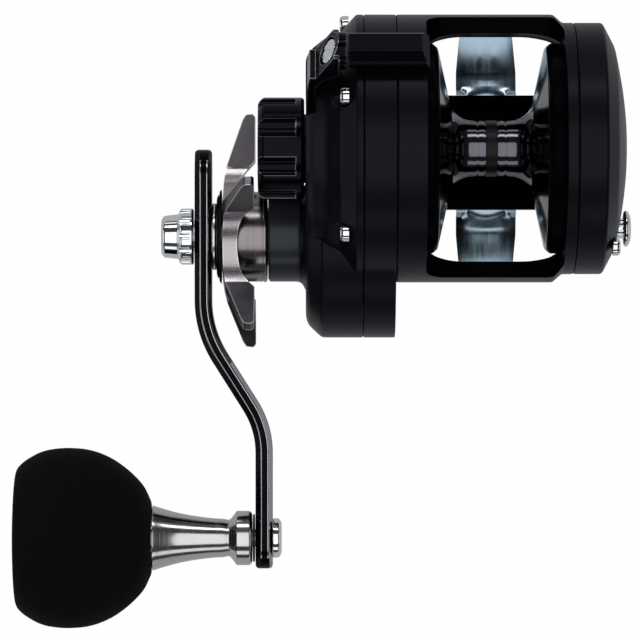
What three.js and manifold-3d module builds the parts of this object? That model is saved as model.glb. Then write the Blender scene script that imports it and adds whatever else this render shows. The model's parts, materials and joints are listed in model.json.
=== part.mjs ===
// A right-hand, star-drag trolling reel, in millimetres, +Z up.
// The origin is the centre of the foot's flat underside. X runs along the spool's axis, with the
// handle at -X, and Y runs along the rod, with the angler at +Y.
import * as THREE from 'three';
import { mergeVertices } from 'three/addons/utils/BufferGeometryUtils.js';
import Module from 'manifold-3d';

const wasm = await Module();
wasm.setup();

// ---------------------------------------------------------------- driving dimensions
const GAP = 0.3; // clearance between neighbouring pieces
const BITE = 0.5; // how far a cutting tool passes the surface it cuts
const SPOOL_HEIGHT = 40; // spool axis above the foot's underside
const DRIVE_OFFSET = { y: -23.2, z: -12.5 }; // drive axis, from the spool axis
const HANDLE_REACH = 81; // drive axis to knob axis
const TO_SPOOL = degrees(Math.atan2(-DRIVE_OFFSET.z, -DRIVE_OFFSET.y)); // from the drive axis
const TO_DRIVE = TO_SPOOL + 180; // from the spool axis
const GEAR_TEETH = 61;
const PINION_TEETH = 12;
const CENTRE_DISTANCE = Math.hypot(DRIVE_OFFSET.y, DRIVE_OFFSET.z);
const GEAR_MODULE = (2 * CENTRE_DISTANCE) / (GEAR_TEETH + PINION_TEETH);
const PRESSURE_ANGLE = Math.PI / 9;
const PLATE_RADIUS = 35.6; // rings and side plates
const BULGE_RADIUS = 27.1; // gear housing around the drive axis
const SHAFT_RADIUS = 4; // main shaft
const SHAFT_FLAT = 3.1; // half distance over the main shaft's flats
const SHAFT_BORE = SHAFT_RADIUS + GAP;
const SPOOL_SHAFT_RADIUS = 2;
const LEVER_ANGLE = 52; // clutch lever at rest, from +Y towards +Z
const LEVER_TRAVEL = 25;
const ROUND = 40; // segments of a large circle
const SMALL = 12; // segments of a small circle

// Stations along X.
const X = {
  coverFace: -49.3,
  ceiling: -45, // inside of the gear side cover
  leverFloor: -46.6, // floor of the lever's pocket in the cover
  seam: -34, // cover to gear side plate
  plateFloor: -27.6, // inside of the gear side plate's floor
  frameLeft: -25.1,
  windowLeft: -17.6,
  windowRight: 18.8,
  frameRight: 21.5,
  palmEnd: 35.9,
};

// ---------------------------------------------------------------- helpers
function degrees(radians) {
  return (radians * 180) / Math.PI;
}

function radians(angle) {
  return (angle * Math.PI) / 180;
}

// A point at a radius and an angle, measured from +Y towards +Z, as [y, z].
function around(radius, angle) {
  return [radius * Math.cos(radians(angle)), radius * Math.sin(radians(angle))];
}

function toManifold(geometry) {
  const bare = geometry.clone();
  bare.deleteAttribute('normal');
  bare.deleteAttribute('uv');
  const merged = mergeVertices(bare, 1e-4);
  const index = merged.index.array;
  const kept = [];
  for (let i = 0; i < index.length; i += 3) {
    const [a, b, c] = [index[i], index[i + 1], index[i + 2]];
    if (a !== b && b !== c && c !== a) kept.push(a, b, c);
  }
  const mesh = new wasm.Mesh({
    numProp: 3,
    vertProperties: new Float32Array(merged.getAttribute('position').array),
    triVerts: new Uint32Array(kept),
  });
  return new wasm.Manifold(mesh);
}

function toGeometry(solid) {
  const mesh = solid.getMesh();
  const geometry = new THREE.BufferGeometry();
  geometry.setAttribute('position', new THREE.BufferAttribute(mesh.vertProperties, 3));
  geometry.setIndex(new THREE.BufferAttribute(mesh.triVerts, 1));
  return geometry;
}

function combine(method, first, others) {
  let solid = toManifold(first);
  for (const other of others) solid = solid[method](toManifold(other));
  return toGeometry(solid);
}

const join = (first, ...others) => combine('add', first, others);
const cut = (first, ...others) => combine('subtract', first, others);
const common = (first, ...others) => combine('intersect', first, others);

// Carries a geometry off its axis.
function at(geometry, y, z, x = 0) {
  return geometry.clone().translate(x, y, z);
}

function atDrive(geometry) {
  return at(geometry, DRIVE_OFFSET.y, DRIVE_OFFSET.z);
}

function turned(geometry, angle) {
  return geometry.clone().rotateX(radians(angle));
}

// A solid of revolution about X, from a closed outline of [x, radius] points.
function revolve(outline, segments = ROUND) {
  let area = 0;
  outline.forEach(([x, r], i) => {
    const [nextX, nextR] = outline[(i + 1) % outline.length];
    area += x * nextR - nextX * r;
  });
  const ordered = area < 0 ? outline : [...outline].reverse();
  const points = [...ordered, ordered[0]].map(([x, r]) => new THREE.Vector2(r, x));
  return new THREE.LatheGeometry(points, segments).rotateZ(-Math.PI / 2);
}

// A disc or ring about X.
function disc(x0, x1, radius, bore = 0, segments = SMALL) {
  return revolve([[x0, bore], [x1, bore], [x1, radius], [x0, radius]], segments);
}

// A disc with both outer edges chamfered.
function bevelledDisc(x0, x1, radius, bore, bevel, segments = SMALL) {
  const inner = radius - bevel;
  const outline = [
    [x0, bore], [x1, bore], [x1, inner], [x1 - bevel, radius], [x0 + bevel, radius], [x0, inner],
  ];
  return revolve(outline, segments);
}

// A shape drawn in the Y-Z plane, carried along X.
function alongX(shape, x0, x1, curveSegments = SMALL / 2) {
  const options = { depth: x1 - x0, bevelEnabled: false, curveSegments };
  const toX = new THREE.Matrix4().makeBasis(
    new THREE.Vector3(0, 1, 0),
    new THREE.Vector3(0, 0, 1),
    new THREE.Vector3(1, 0, 0),
  );
  return new THREE.ExtrudeGeometry(shape, options).applyMatrix4(toX).translate(x0, 0, 0);
}

// A shape drawn in the X-Y plane, carried along Z.
function alongZ(shape, z0, z1) {
  const options = { depth: z1 - z0, bevelEnabled: false, curveSegments: SMALL / 2 };
  return new THREE.ExtrudeGeometry(shape, options).translate(0, 0, z0);
}

function polygon(points) {
  return new THREE.Shape(points.map(([a, b]) => new THREE.Vector2(a, b)));
}

function block(x0, x1, y0, y1, z0, z1) {
  const box = new THREE.BoxGeometry(x1 - x0, y1 - y0, z1 - z0);
  return box.translate((x0 + x1) / 2, (y0 + y1) / 2, (z0 + z1) / 2);
}

// A circle with two parallel flats, as a polygon.
function flattedCircle(radius, flat, segments = SMALL) {
  const corner = Math.acos(flat / radius);
  const points = [];
  for (const side of [0, Math.PI]) {
    for (let i = 0; i <= segments / 2; i++) {
      const angle = side + corner + ((Math.PI - 2 * corner) * i) / (segments / 2);
      points.push([radius * Math.cos(angle), radius * Math.sin(angle)]);
    }
  }
  return polygon(points);
}

// The hole for a piece that the main shaft's flats turn.
function keyedHole(x0, x1) {
  return alongX(flattedCircle(SHAFT_BORE, SHAFT_FLAT + GAP), x0 - BITE, x1 + BITE);
}

// A sector of a ring, as a polygon between two angles.
function sector(innerRadius, outerRadius, from, to, steps = 12) {
  const points = [];
  for (let i = 0; i <= steps; i++) points.push(around(outerRadius, from + ((to - from) * i) / steps));
  for (let i = steps; i >= 0; i--) points.push(around(innerRadius, from + ((to - from) * i) / steps));
  return polygon(points);
}

// ---------------------------------------------------------------- materials
const FINISHES = {
  anodised: { color: 0x121319, roughness: 0.42, metalness: 0.6 },
  glossBlack: { color: 0x07070a, roughness: 0.16, metalness: 0.35 },
  pewter: { color: 0x6d6668, roughness: 0.34, metalness: 1 },
  chrome: { color: 0xd8dadd, roughness: 0.1, metalness: 1 },
  footSilver: { color: 0x93a0ab, roughness: 0.2, metalness: 1 },
  gunSilver: { color: 0x8f8b8c, roughness: 0.26, metalness: 1 },
  steel: { color: 0xa9abad, roughness: 0.3, metalness: 1 },
  brass: { color: 0xb08d45, roughness: 0.35, metalness: 1 },
  foam: { color: 0x17171a, roughness: 0.95, metalness: 0 },
  rubber: { color: 0x1c1d20, roughness: 0.8, metalness: 0 },
  carbon: { color: 0x222326, roughness: 0.6, metalness: 0.1 },
};

function piece(name, geometry, finish) {
  const flat = geometry.index ? geometry.toNonIndexed() : geometry;
  flat.computeVertexNormals();
  const mesh = new THREE.Mesh(flat, new THREE.MeshStandardMaterial(FINISHES[finish]));
  mesh.name = name;
  return mesh;
}

// ---------------------------------------------------------------- fasteners
// A pan-head screw along +X, with its head's outer face at x0, and a slot across the head.
function screw({ x0, headHeight, headRadius, shankRadius, shankEnd }) {
  const slot = 0.3 * headRadius;
  const slotDepth = 0.4 * headHeight;
  const bevel = 0.25 * headRadius;
  const under = x0 + headHeight;
  const outline = [
    [x0, 0], [x0, headRadius - bevel], [x0 + bevel, headRadius], [under, headRadius],
    [under, shankRadius], [shankEnd, shankRadius], [shankEnd, 0],
  ];
  const groove = block(x0 - BITE, x0 + slotDepth, -headRadius - BITE, headRadius + BITE, -slot, slot);
  return cut(revolve(outline, SMALL / 2), groove);
}

// A ball bearing as one solid, with a sunken shield between its races on one side.
function bearing(x0, x1, bore, radius) {
  const race = 0.25 * (radius - bore);
  const groove = 0.15 * (x1 - x0);
  const outline = [
    [x0, bore], [x1, bore], [x1, bore + race], [x1 - groove, bore + race],
    [x1 - groove, radius - race], [x1, radius - race], [x1, radius], [x0, radius],
  ];
  return revolve(outline, SMALL);
}

// ---------------------------------------------------------------- frame and casings
const SCREWS = {
  radius: 33, // circle of the long cover screws
  angles: [0, 68, 134],
  headFace: -40.3,
  headHeight: 2.6,
  headRadius: 2.3,
  pocketRadius: 2.7,
  shankRadius: 1.1,
  end: -19.5,
};
const PALM_SCREWS = {
  radius: 30.5,
  angles: [150, 235, 330],
  headFace: 33.4,
  headHeight: 2,
  headRadius: 2.3,
  pocketRadius: 2.7,
  shankRadius: 1.1,
  end: 19.6,
};
const FOOT_SCREWS = { y: 10.5, headRadius: 2.4, headHeight: 1.4, shankRadius: 1.2, top: 8.6 };
const RING_BORE = 28.6; // rings' inner radius, around the spool's flanges
const BAR_INNER = 31.4;
const BAR_HALF_ANGLE = 15;
const SADDLE_HALF_ANGLE = 27;
const SADDLE = { halfY: 15.5, flatZ: -35.5, topZ: -29.5 }; // the block that the foot is screwed to

function screwHoles(circle, x0, x1) {
  return circle.angles.map((angle) => {
    const [y, z] = around(circle.radius, angle);
    return at(disc(x0, x1, circle.shankRadius + GAP, 0, SMALL / 2), y, z);
  });
}

function screwPockets(circle, x0, x1) {
  return circle.angles.map((angle) => {
    const [y, z] = around(circle.radius, angle);
    return at(disc(x0, x1, circle.pocketRadius, 0, SMALL / 2), y, z);
  });
}

// The inside of the two rings and the arched inside of the bars between them.
function frameBore() {
  const arch = 5; // length of the arch at each end of a bar
  const archStart = [0.35 * arch, BAR_INNER - 1.2]; // depth and radius of the arch's middle point
  const outline = [
    [X.frameLeft - BITE, 0], [X.frameLeft - BITE, RING_BORE], [X.windowLeft, RING_BORE],
    [X.windowLeft + archStart[0], archStart[1]], [X.windowLeft + arch, BAR_INNER],
    [X.windowRight - arch, BAR_INNER], [X.windowRight - archStart[0], archStart[1]],
    [X.windowRight, RING_BORE], [X.frameRight + BITE, RING_BORE], [X.frameRight + BITE, 0],
  ];
  return revolve(outline);
}

function frame() {
  const slope = 2.5; // from the bars down to the right ring
  const outside = revolve([
    [X.frameLeft, 0], [X.frameLeft, PLATE_RADIUS], [X.windowRight - slope, PLATE_RADIUS],
    [X.windowRight, PALM.rimRadius], [X.frameRight, PALM.rimRadius], [X.frameRight, 0],
  ]);
  const saddle = block(
    X.windowLeft, X.windowRight, -SADDLE.halfY, SADDLE.halfY, SADDLE.flatZ, SADDLE.topZ,
  );
  const base = 270;
  const windows = [
    [BAR_HALF_ANGLE, 180 - BAR_HALF_ANGLE],
    [180 + BAR_HALF_ANGLE, base - SADDLE_HALF_ANGLE],
    [base + SADDLE_HALF_ANGLE, 360 - BAR_HALF_ANGLE],
  ].map(([from, to]) => alongX(sector(20, 40, from, to), X.windowLeft, X.windowRight));
  const footHoles = [-FOOT_SCREWS.y, FOOT_SCREWS.y].map((y) => {
    const hole = disc(0, FOOT_SCREWS.top + GAP, FOOT_SCREWS.shankRadius + GAP, 0, SMALL / 2);
    return hole.rotateY(-Math.PI / 2).translate(0, y, -SPOOL_HEIGHT);
  });
  return cut(
    join(cut(outside, ...windows), saddle),
    frameBore(),
    ...footHoles,
    ...screwHoles(SCREWS, X.frameLeft - BITE, SCREWS.end + GAP),
    ...screwHoles(PALM_SCREWS, PALM_SCREWS.end - GAP, X.frameRight + BITE),
  );
}

const GEAR_CAVITY = 30; // around the spool axis
const BULGE_CAVITY = 24.8; // around the drive axis
const BULGE_EDGE = { left: -45, faceX: -48.6, faceRadius: 23.7 };
const DRIVE_BOSS = { left: -59.1, radius: 12.1, bore: 10.3, lip: 8.4, lipX: -58.5 };
const SPOOL_BOSS = { left: -58.8, radius: 9.2, bore: 3.6, seat: 6.3, seatX: -49 };
const LEVER_HUB = { bore: 9.6, radius: 13.2, pocket: 14 };
const LINK_PIN = { radius: 0.9, orbit: 12, angle: 65 };
const POST = { radius: 1.1, orbit: 13.2, angles: [TO_DRIVE - 90, TO_DRIVE + 90] }; // for the yoke

// Everything of the cover's outside: the disc, the gear housing and the two bosses.
function coverOutside() {
  const body = revolve([
    [X.seam, 0], [X.seam, PLATE_RADIUS], [-35.9, PLATE_RADIUS], [-40.2, 30.9], [-43.5, 29.8],
    [-47.8, 26.5], [X.coverFace, 24], [X.coverFace, 0],
  ]);
  const bulge = atDrive(revolve([
    [X.seam, 0], [X.seam, BULGE_RADIUS], [BULGE_EDGE.left, BULGE_RADIUS],
    [BULGE_EDGE.faceX, BULGE_EDGE.faceRadius], [X.coverFace, 22], [X.coverFace, 0],
  ]));
  const driveBoss = atDrive(revolve([
    [X.coverFace + 1, 0], [X.coverFace + 1, 14.2], [X.coverFace - 1.2, DRIVE_BOSS.radius],
    [DRIVE_BOSS.left + 0.6, DRIVE_BOSS.radius], [DRIVE_BOSS.left, DRIVE_BOSS.radius - 0.6],
    [DRIVE_BOSS.left, 0],
  ]));
  return join(body, bulge, driveBoss);
}

// The pocket that the clutch lever lies and swings in.
function leverPocket() {
  const margin = 23; // clears the sides of the lever where it leaves its hub
  const from = LEVER_ANGLE - LEVER_TRAVEL - margin;
  const to = LEVER_ANGLE + margin;
  const hub = disc(X.coverFace - 3, X.leverFloor, LEVER_HUB.pocket, 0, ROUND / 2);
  const swing = alongX(sector(LEVER_HUB.bore, 40, from, to), X.coverFace - 3, X.leverFloor);
  return join(hub, swing);
}

function linkSlot() {
  const half = LINK_PIN.radius + GAP;
  const reach = 6;
  const shape = sector(
    LINK_PIN.orbit - half, LINK_PIN.orbit + half,
    LINK_PIN.angle - LEVER_TRAVEL - reach, LINK_PIN.angle + reach,
  );
  return alongX(shape, X.leverFloor - BITE, X.ceiling + BITE);
}

function gearSideCover() {
  const cavity = revolve([
    [X.seam + BITE, 0], [X.seam + BITE, GEAR_CAVITY], [-37, GEAR_CAVITY], [-40.5, 27.5],
    [X.ceiling, 24], [X.ceiling, 0],
  ]);
  const bulgeCavity = atDrive(disc(X.ceiling, X.seam + BITE, BULGE_CAVITY, 0, ROUND));
  const driveBore = atDrive(join(
    disc(DRIVE_BOSS.lipX, X.ceiling + BITE, DRIVE_BOSS.bore, 0, ROUND / 2),
    disc(DRIVE_BOSS.left - BITE, X.ceiling, DRIVE_BOSS.lip, 0, ROUND / 2),
  ));
  const spoolBoss = disc(SPOOL_BOSS.left, X.leverFloor + GAP, SPOOL_BOSS.radius, 0, ROUND / 2);
  const spoolBore = join(
    disc(SPOOL_BOSS.left - BITE, X.ceiling, SPOOL_BOSS.bore),
    disc(SPOOL_BOSS.seatX, X.ceiling + BITE, SPOOL_BOSS.seat),
  );
  const shell = join(cut(coverOutside(), leverPocket()), spoolBoss);
  return cut(
    shell, cavity, bulgeCavity, driveBore, spoolBore, linkSlot(),
    ...screwPockets(SCREWS, X.coverFace, SCREWS.headFace + SCREWS.headHeight + GAP),
    ...screwHoles(SCREWS, X.coverFace, X.seam + BITE),
  );
}

const SPOOL_BEARING = { bore: 2.3, radius: 5.5 };
const SHAFT_BEARING = { bore: 3.3, radius: 6.5, left: -27.5, right: -26.1 };

const PAWL = {
  pivotRadius: 19, pivotAngle: 178, bossRadius: 2.3, pinRadius: 1.1, lift: 10, depth: 2.6, backlash: 1.7,
};

// The gear side plate carries the ratchet pawl on a stud of its own.
function gearSidePlate() {
  const outside = join(
    disc(X.seam + GAP, X.frameLeft - GAP, PLATE_RADIUS, 0, ROUND),
    atDrive(disc(X.seam + GAP, X.frameLeft - GAP, BULGE_RADIUS, 0, ROUND)),
  );
  const inside = join(
    disc(X.seam - BITE, X.plateFloor, GEAR_CAVITY, 0, ROUND),
    atDrive(disc(X.seam - BITE, X.plateFloor, BULGE_CAVITY, 0, ROUND)),
  );
  const spoolSeat = disc(
    X.plateFloor - BITE, X.frameLeft + BITE, SPOOL_BEARING.radius + GAP, 0, SMALL,
  );
  const shaftSeat = atDrive(disc(
    X.plateFloor - BITE, SHAFT_BEARING.right + GAP, SHAFT_BEARING.radius + GAP,
  ));
  const [studY, studZ] = around(PAWL.pivotRadius, PAWL.pivotAngle);
  const stud = atDrive(at(disc(-31.1, X.plateFloor + BITE, PAWL.pinRadius), studY, studZ));
  const shell = cut(outside, inside, spoolSeat, shaftSeat, ...screwHoles(SCREWS, X.seam, X.frameLeft));
  return join(shell, stud);
}

const PALM = { rimX: 29.3, rimRadius: 33.4, innerX: 32.5, innerRadius: 27.3, coneX: 34, coneRadius: 20.7 };
const PALM_CEILING = 30.2;
const CLICK = {
  orbitY: -21.3, travel: 2, gearX: 20.6, thickness: 1.4, teeth: 24, tip: 9.6, root: 8.1,
};
const CLICK_KNOB = { stemRadius: 1.5, headRadius: 4.9, headX: 35.3, headHeight: 1.9 };

// The slot that the click knob slides along.
function clickSlot() {
  const half = CLICK_KNOB.stemRadius + GAP;
  const [x0, x1] = [PALM_CEILING - BITE, X.palmEnd];
  const far = CLICK.orbitY + CLICK.travel;
  return join(
    at(disc(x0, x1, half), CLICK.orbitY, 0),
    at(disc(x0, x1, half), far, 0),
    block(x0, x1, CLICK.orbitY, far, -half, half),
  );
}

function palmSidePlate() {
  const outside = revolve([
    [X.frameRight + GAP, 0], [X.frameRight + GAP, PALM.rimRadius], [PALM.rimX, PALM.rimRadius],
    [PALM.innerX, PALM.innerRadius], [PALM.coneX, PALM.coneRadius], [35.3, 12], [X.palmEnd, 0],
  ]);
  const inside = revolve([
    [X.frameRight - BITE, 0], [X.frameRight - BITE, 28], [28.4, 28], [PALM_CEILING, 24],
    [PALM_CEILING, 0],
  ]);
  const seat = disc(24.2, PALM_CEILING + BITE, SPOOL_BEARING.radius + 2, 0, SMALL);
  const seatBore = join(
    disc(24.2 - BITE, 27.4, SPOOL_BEARING.radius + GAP),
    disc(24.2, 30.2, SPOOL_SHAFT_RADIUS + GAP),
  );
  return cut(
    join(cut(outside, inside), seat), seatBore, clickSlot(),
    ...screwPockets(PALM_SCREWS, PALM_SCREWS.headFace - PALM_SCREWS.headHeight - GAP, X.palmEnd),
    ...screwHoles(PALM_SCREWS, X.frameRight - BITE, X.palmEnd),
  );
}

// ---------------------------------------------------------------- reel foot
const FOOT = {
  halfLength: 34.8, halfWidth: 8.2, tipHalfWidth: 7.4, corner: 4, tip: 1.1, bend: 2.4, pad: 4.2,
};
const FOOT_BEND_Y = 21.9; // where the blades meet the slope up to the pad
const FOOT_PAD_Y = 15.9; // where the slope meets the pad

function reelFoot() {
  const side = polygon([
    [-FOOT.halfLength, 0], [FOOT.halfLength, 0], [FOOT.halfLength, FOOT.tip],
    [FOOT_BEND_Y, FOOT.bend], [FOOT_PAD_Y, FOOT.pad], [-FOOT_PAD_Y, FOOT.pad],
    [-FOOT_BEND_Y, FOOT.bend], [-FOOT.halfLength, FOOT.tip],
  ]);
  const body = alongX(side, -FOOT.halfWidth, FOOT.halfWidth);
  const plan = new THREE.Shape();
  const cornerX = FOOT.tipHalfWidth - FOOT.corner;
  const cornerY = FOOT.halfLength - FOOT.corner;
  const [right, up, left, down] = [0, Math.PI / 2, Math.PI, (3 * Math.PI) / 2];
  plan.moveTo(FOOT.halfWidth, -FOOT_BEND_Y);
  plan.lineTo(FOOT.halfWidth, FOOT_BEND_Y);
  plan.absarc(cornerX, cornerY, FOOT.corner, right, up, false);
  plan.absarc(-cornerX, cornerY, FOOT.corner, up, left, false);
  plan.lineTo(-FOOT.halfWidth, FOOT_BEND_Y);
  plan.lineTo(-FOOT.halfWidth, -FOOT_BEND_Y);
  plan.absarc(-cornerX, -cornerY, FOOT.corner, left, down, false);
  plan.absarc(cornerX, -cornerY, FOOT.corner, down, 2 * Math.PI, false);
  const holes = [-FOOT_SCREWS.y, FOOT_SCREWS.y].map((y) => {
    const { headRadius, headHeight, shankRadius } = FOOT_SCREWS;
    const hole = revolve([
      [-BITE, 0], [-BITE, headRadius + GAP], [GAP, headRadius + GAP],
      [headHeight + GAP, shankRadius + GAP], [FOOT.pad + BITE, shankRadius + GAP],
      [FOOT.pad + BITE, 0],
    ], SMALL);
    return hole.rotateY(-Math.PI / 2).translate(0, y, 0);
  });
  return cut(common(body, alongZ(plan, -BITE, FOOT.pad + BITE)), ...holes);
}

// A countersunk screw pointing up, with its head inside the foot's underside.
function footScrew() {
  const { headRadius, headHeight, shankRadius, top } = FOOT_SCREWS;
  const body = revolve([
    [GAP, 0], [GAP, headRadius], [headHeight, shankRadius], [top, shankRadius], [top, 0],
  ], SMALL / 2);
  const socket = block(0, headHeight, -1.8, 1.8, -0.35, 0.35);
  return cut(body, socket).rotateY(-Math.PI / 2);
}

// ---------------------------------------------------------------- spool line
const SPOOL = {
  end: 19.6, rim: 27.9, rimInner: 15.8, lipX: 14.2, lip: 26.7, coneX: 11.2, cone: 10.9, arborX: 4.4,
  arbor: 7.3, hub: 8, hubEnd: 20.2, shell: 25, shellX: 16.4, wallX: 14, bore: 2.3,
};
const BAND = { half: 1.6, depth: 0.7, proud: 0.15 };

// The spool's outline from its left end to its middle, mirrored for the other side.
function spool() {
  const half = [
    [SPOOL.hubEnd, SPOOL.bore], [SPOOL.hubEnd, SPOOL.hub], [SPOOL.wallX, SPOOL.hub],
    [SPOOL.wallX, SPOOL.cone + 2], [SPOOL.shellX, SPOOL.shell], [SPOOL.end, SPOOL.shell + 1.2],
    [SPOOL.end, SPOOL.rim], [SPOOL.rimInner, SPOOL.rim], [SPOOL.lipX, SPOOL.lip],
    [SPOOL.coneX, SPOOL.cone], [8.6, 8.2], [SPOOL.arborX, SPOOL.arbor],
    [BAND.half + GAP, SPOOL.arbor], [BAND.half + GAP, SPOOL.arbor - BAND.depth],
  ];
  const mirrored = half.map(([x, r]) => [-x, r]).reverse();
  return revolve([...half, ...mirrored]);
}

function lineBand() {
  const bore = SPOOL.arbor - BAND.depth + GAP / 2;
  return disc(-BAND.half, BAND.half, SPOOL.arbor + BAND.proud, bore, ROUND / 2);
}

const SPOOL_SHAFT = { left: -58.4, right: 29.6, pinX: -29.9, pinRadius: 0.8, pinReach: 4.2 };

function spoolShaft() {
  const bevel = 0.5;
  const shaft = revolve([
    [SPOOL_SHAFT.left, 0], [SPOOL_SHAFT.left, SPOOL_SHAFT_RADIUS - bevel],
    [SPOOL_SHAFT.left + bevel, SPOOL_SHAFT_RADIUS], [SPOOL_SHAFT.right - bevel, SPOOL_SHAFT_RADIUS],
    [SPOOL_SHAFT.right, SPOOL_SHAFT_RADIUS - bevel], [SPOOL_SHAFT.right, 0],
  ], SMALL);
  return cut(shaft, crossPinBlank(SPOOL_SHAFT.pinRadius + GAP / 2, SPOOL_SHAFT_RADIUS + BITE));
}

function crossPinBlank(radius, reach) {
  const pin = new THREE.CylinderGeometry(radius, radius, 2 * reach, SMALL / 2);
  return pin.rotateX(Math.PI / 2).translate(SPOOL_SHAFT.pinX, 0, 0);
}

function clickGear() {
  const points = [];
  const pitch = 360 / CLICK.teeth;
  for (let i = 0; i < CLICK.teeth; i++) {
    const valley = 180 + i * pitch;
    points.push(around(CLICK.root, valley));
    points.push(around(CLICK.tip, valley + 0.42 * pitch));
    points.push(around(CLICK.tip, valley + 0.58 * pitch));
  }
  const body = alongX(polygon(points), CLICK.gearX, CLICK.gearX + CLICK.thickness);
  return cut(body, disc(CLICK.gearX - BITE, CLICK.gearX + 2, SPOOL.bore));
}

// ---------------------------------------------------------------- cast control
const CAP = { left: -62, right: -49.7, lobeEnd: -51.9, radius: 13.6, lobes: 8, groove: 2.7, bore: 9.6 };

function castControlCap() {
  const bevel = 1.1;
  const ceiling = -60.3;
  const body = revolve([
    [CAP.left, 0], [CAP.left, CAP.radius - bevel], [CAP.left + bevel, CAP.radius],
    [CAP.right - 0.5, CAP.radius], [CAP.right, CAP.radius - 0.5], [CAP.right, CAP.bore],
    [ceiling, CAP.bore], [ceiling, 0],
  ]);
  const grooves = [];
  for (let i = 0; i < CAP.lobes; i++) {
    const [y, z] = around(CAP.radius + 1, (360 / CAP.lobes) * (i + 0.5));
    grooves.push(at(disc(CAP.left - BITE, CAP.lobeEnd, CAP.groove, 0, SMALL / 2), y, z));
  }
  return cut(body, ...grooves);
}

// ---------------------------------------------------------------- gears and clutch
// An involute gear outline, its teeth thinned for backlash.
function gearOutline(teeth, tipRadius, rootRadius, startAngle) {
  const thinning = 0.09;
  const pitchRadius = (teeth * GEAR_MODULE) / 2;
  const baseRadius = pitchRadius * Math.cos(PRESSURE_ANGLE);
  const involute = (r) => {
    const pressure = Math.acos(Math.min(1, baseRadius / r));
    return Math.tan(pressure) - pressure;
  };
  const halfAtPitch = Math.PI / (2 * teeth) - thinning / pitchRadius;
  const half = (r) => halfAtPitch + involute(pitchRadius) - involute(Math.max(r, baseRadius));
  const flank = baseRadius > rootRadius ? [baseRadius, pitchRadius] : [pitchRadius];
  const radii = [rootRadius, ...flank, tipRadius];
  const points = [];
  for (let i = 0; i < teeth; i++) {
    const centre = startAngle + (360 / teeth) * i;
    for (const r of radii) points.push(around(r, centre - degrees(half(r))));
    for (const r of [...radii].reverse()) points.push(around(r, centre + degrees(half(r))));
  }
  return polygon(points);
}

const MAIN_GEAR = { left: -36, right: -31.5, cup: 18.3, cupX: -33.2, tip: 22.5, root: 21.1 };

function mainGear() {
  const rim = alongX(
    gearOutline(GEAR_TEETH, MAIN_GEAR.tip, MAIN_GEAR.root, TO_SPOOL), MAIN_GEAR.left, MAIN_GEAR.right,
  );
  const cup = disc(MAIN_GEAR.left - BITE, MAIN_GEAR.cupX, MAIN_GEAR.cup, 0, ROUND / 2);
  const bore = disc(MAIN_GEAR.left, MAIN_GEAR.right + BITE, SHAFT_BORE);
  return cut(rim, cup, bore);
}

const PINION = {
  left: -49.6, right: -29, teethLeft: -39.2, tip: 5, root: 3.35, bore: 2.4, trunnion: 3,
  flange: 4.8, flangeLeft: -42.7, flangeRight: -41.5, slotHalf: 1.05, slotLeft: -30.9,
};

function pinion() {
  const gap = 180 / PINION_TEETH;
  const teeth = alongX(
    gearOutline(PINION_TEETH, PINION.tip, PINION.root, TO_DRIVE + gap), PINION.teethLeft, PINION.right,
  );
  const neck = revolve([
    [PINION.left, 0], [PINION.left, PINION.trunnion], [PINION.flangeLeft, PINION.trunnion],
    [PINION.flangeLeft, PINION.flange], [PINION.flangeRight, PINION.flange],
    [PINION.flangeRight, PINION.root - 0.1], [PINION.teethLeft + GAP, PINION.root - 0.1],
    [PINION.teethLeft + GAP, 0],
  ], SMALL);
  const bore = disc(PINION.left - BITE, PINION.right + BITE, PINION.bore, 0, SMALL);
  const slot = block(
    PINION.slotLeft, PINION.right + BITE, -PINION.slotHalf, PINION.slotHalf, -PINION.tip - 1, PINION.tip + 1,
  );
  return cut(join(teeth, neck), bore, slot);
}

const YOKE = { left: -41.2, right: -39.8, barHalf: 2.4, centre: 7.2, mouth: 3.7 };

// The fork that carries the pinion, with its long way across the line between the two axes.
function yoke() {
  const { left, right } = YOKE;
  const plate = join(
    disc(left, right, YOKE.centre, 0, ROUND / 2),
    block(left, right, -POST.orbit, POST.orbit, -YOKE.barHalf, YOKE.barHalf),
    at(disc(left, right, YOKE.barHalf + 0.2), POST.orbit, 0),
    at(disc(left, right, YOKE.barHalf + 0.2), -POST.orbit, 0),
  );
  const shaped = cut(
    plate,
    disc(left - BITE, right + BITE, YOKE.mouth),
    block(left - BITE, right + BITE, -YOKE.mouth, YOKE.mouth, -YOKE.centre - 1, 0),
    at(disc(left - BITE, right + BITE, POST.radius + GAP), POST.orbit, 0),
    at(disc(left - BITE, right + BITE, POST.radius + GAP), -POST.orbit, 0),
  );
  return turned(shaped, TO_DRIVE - 90);
}

const YOKE_SPRING = { coilRadius: 1.85, wireRadius: 0.28, turns: 3 };

class Helix extends THREE.Curve {
  constructor(radius, x0, x1, turns) {
    super();
    Object.assign(this, { radius, x0, x1, turns });
  }

  getPoint(t, target = new THREE.Vector3()) {
    const angle = 2 * Math.PI * this.turns * t;
    const x = this.x0 + (this.x1 - this.x0) * t;
    return target.set(x, this.radius * Math.cos(angle), this.radius * Math.sin(angle));
  }
}

function coilSpring({ coilRadius, wireRadius, turns }, x0, x1) {
  const wire = new THREE.Shape();
  wire.absarc(0, 0, wireRadius, 0, 2 * Math.PI, false);
  return new THREE.ExtrudeGeometry(wire, {
    steps: 8 * turns,
    curveSegments: 3,
    bevelEnabled: false,
    extrudePath: new Helix(coilRadius, x0 + wireRadius, x1 - wireRadius, turns),
  });
}

const CAM = { left: -38.2, right: -36.6, bore: 5.7, radius: 8.2, armHalf: 2, armEnd: 13.8 };
const WEDGE = { inner: 7.6, outer: 10, start: 2.8, rampEnd: 6.5, end: 8.2, foot: -39.45, top: -41.6 };

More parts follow.
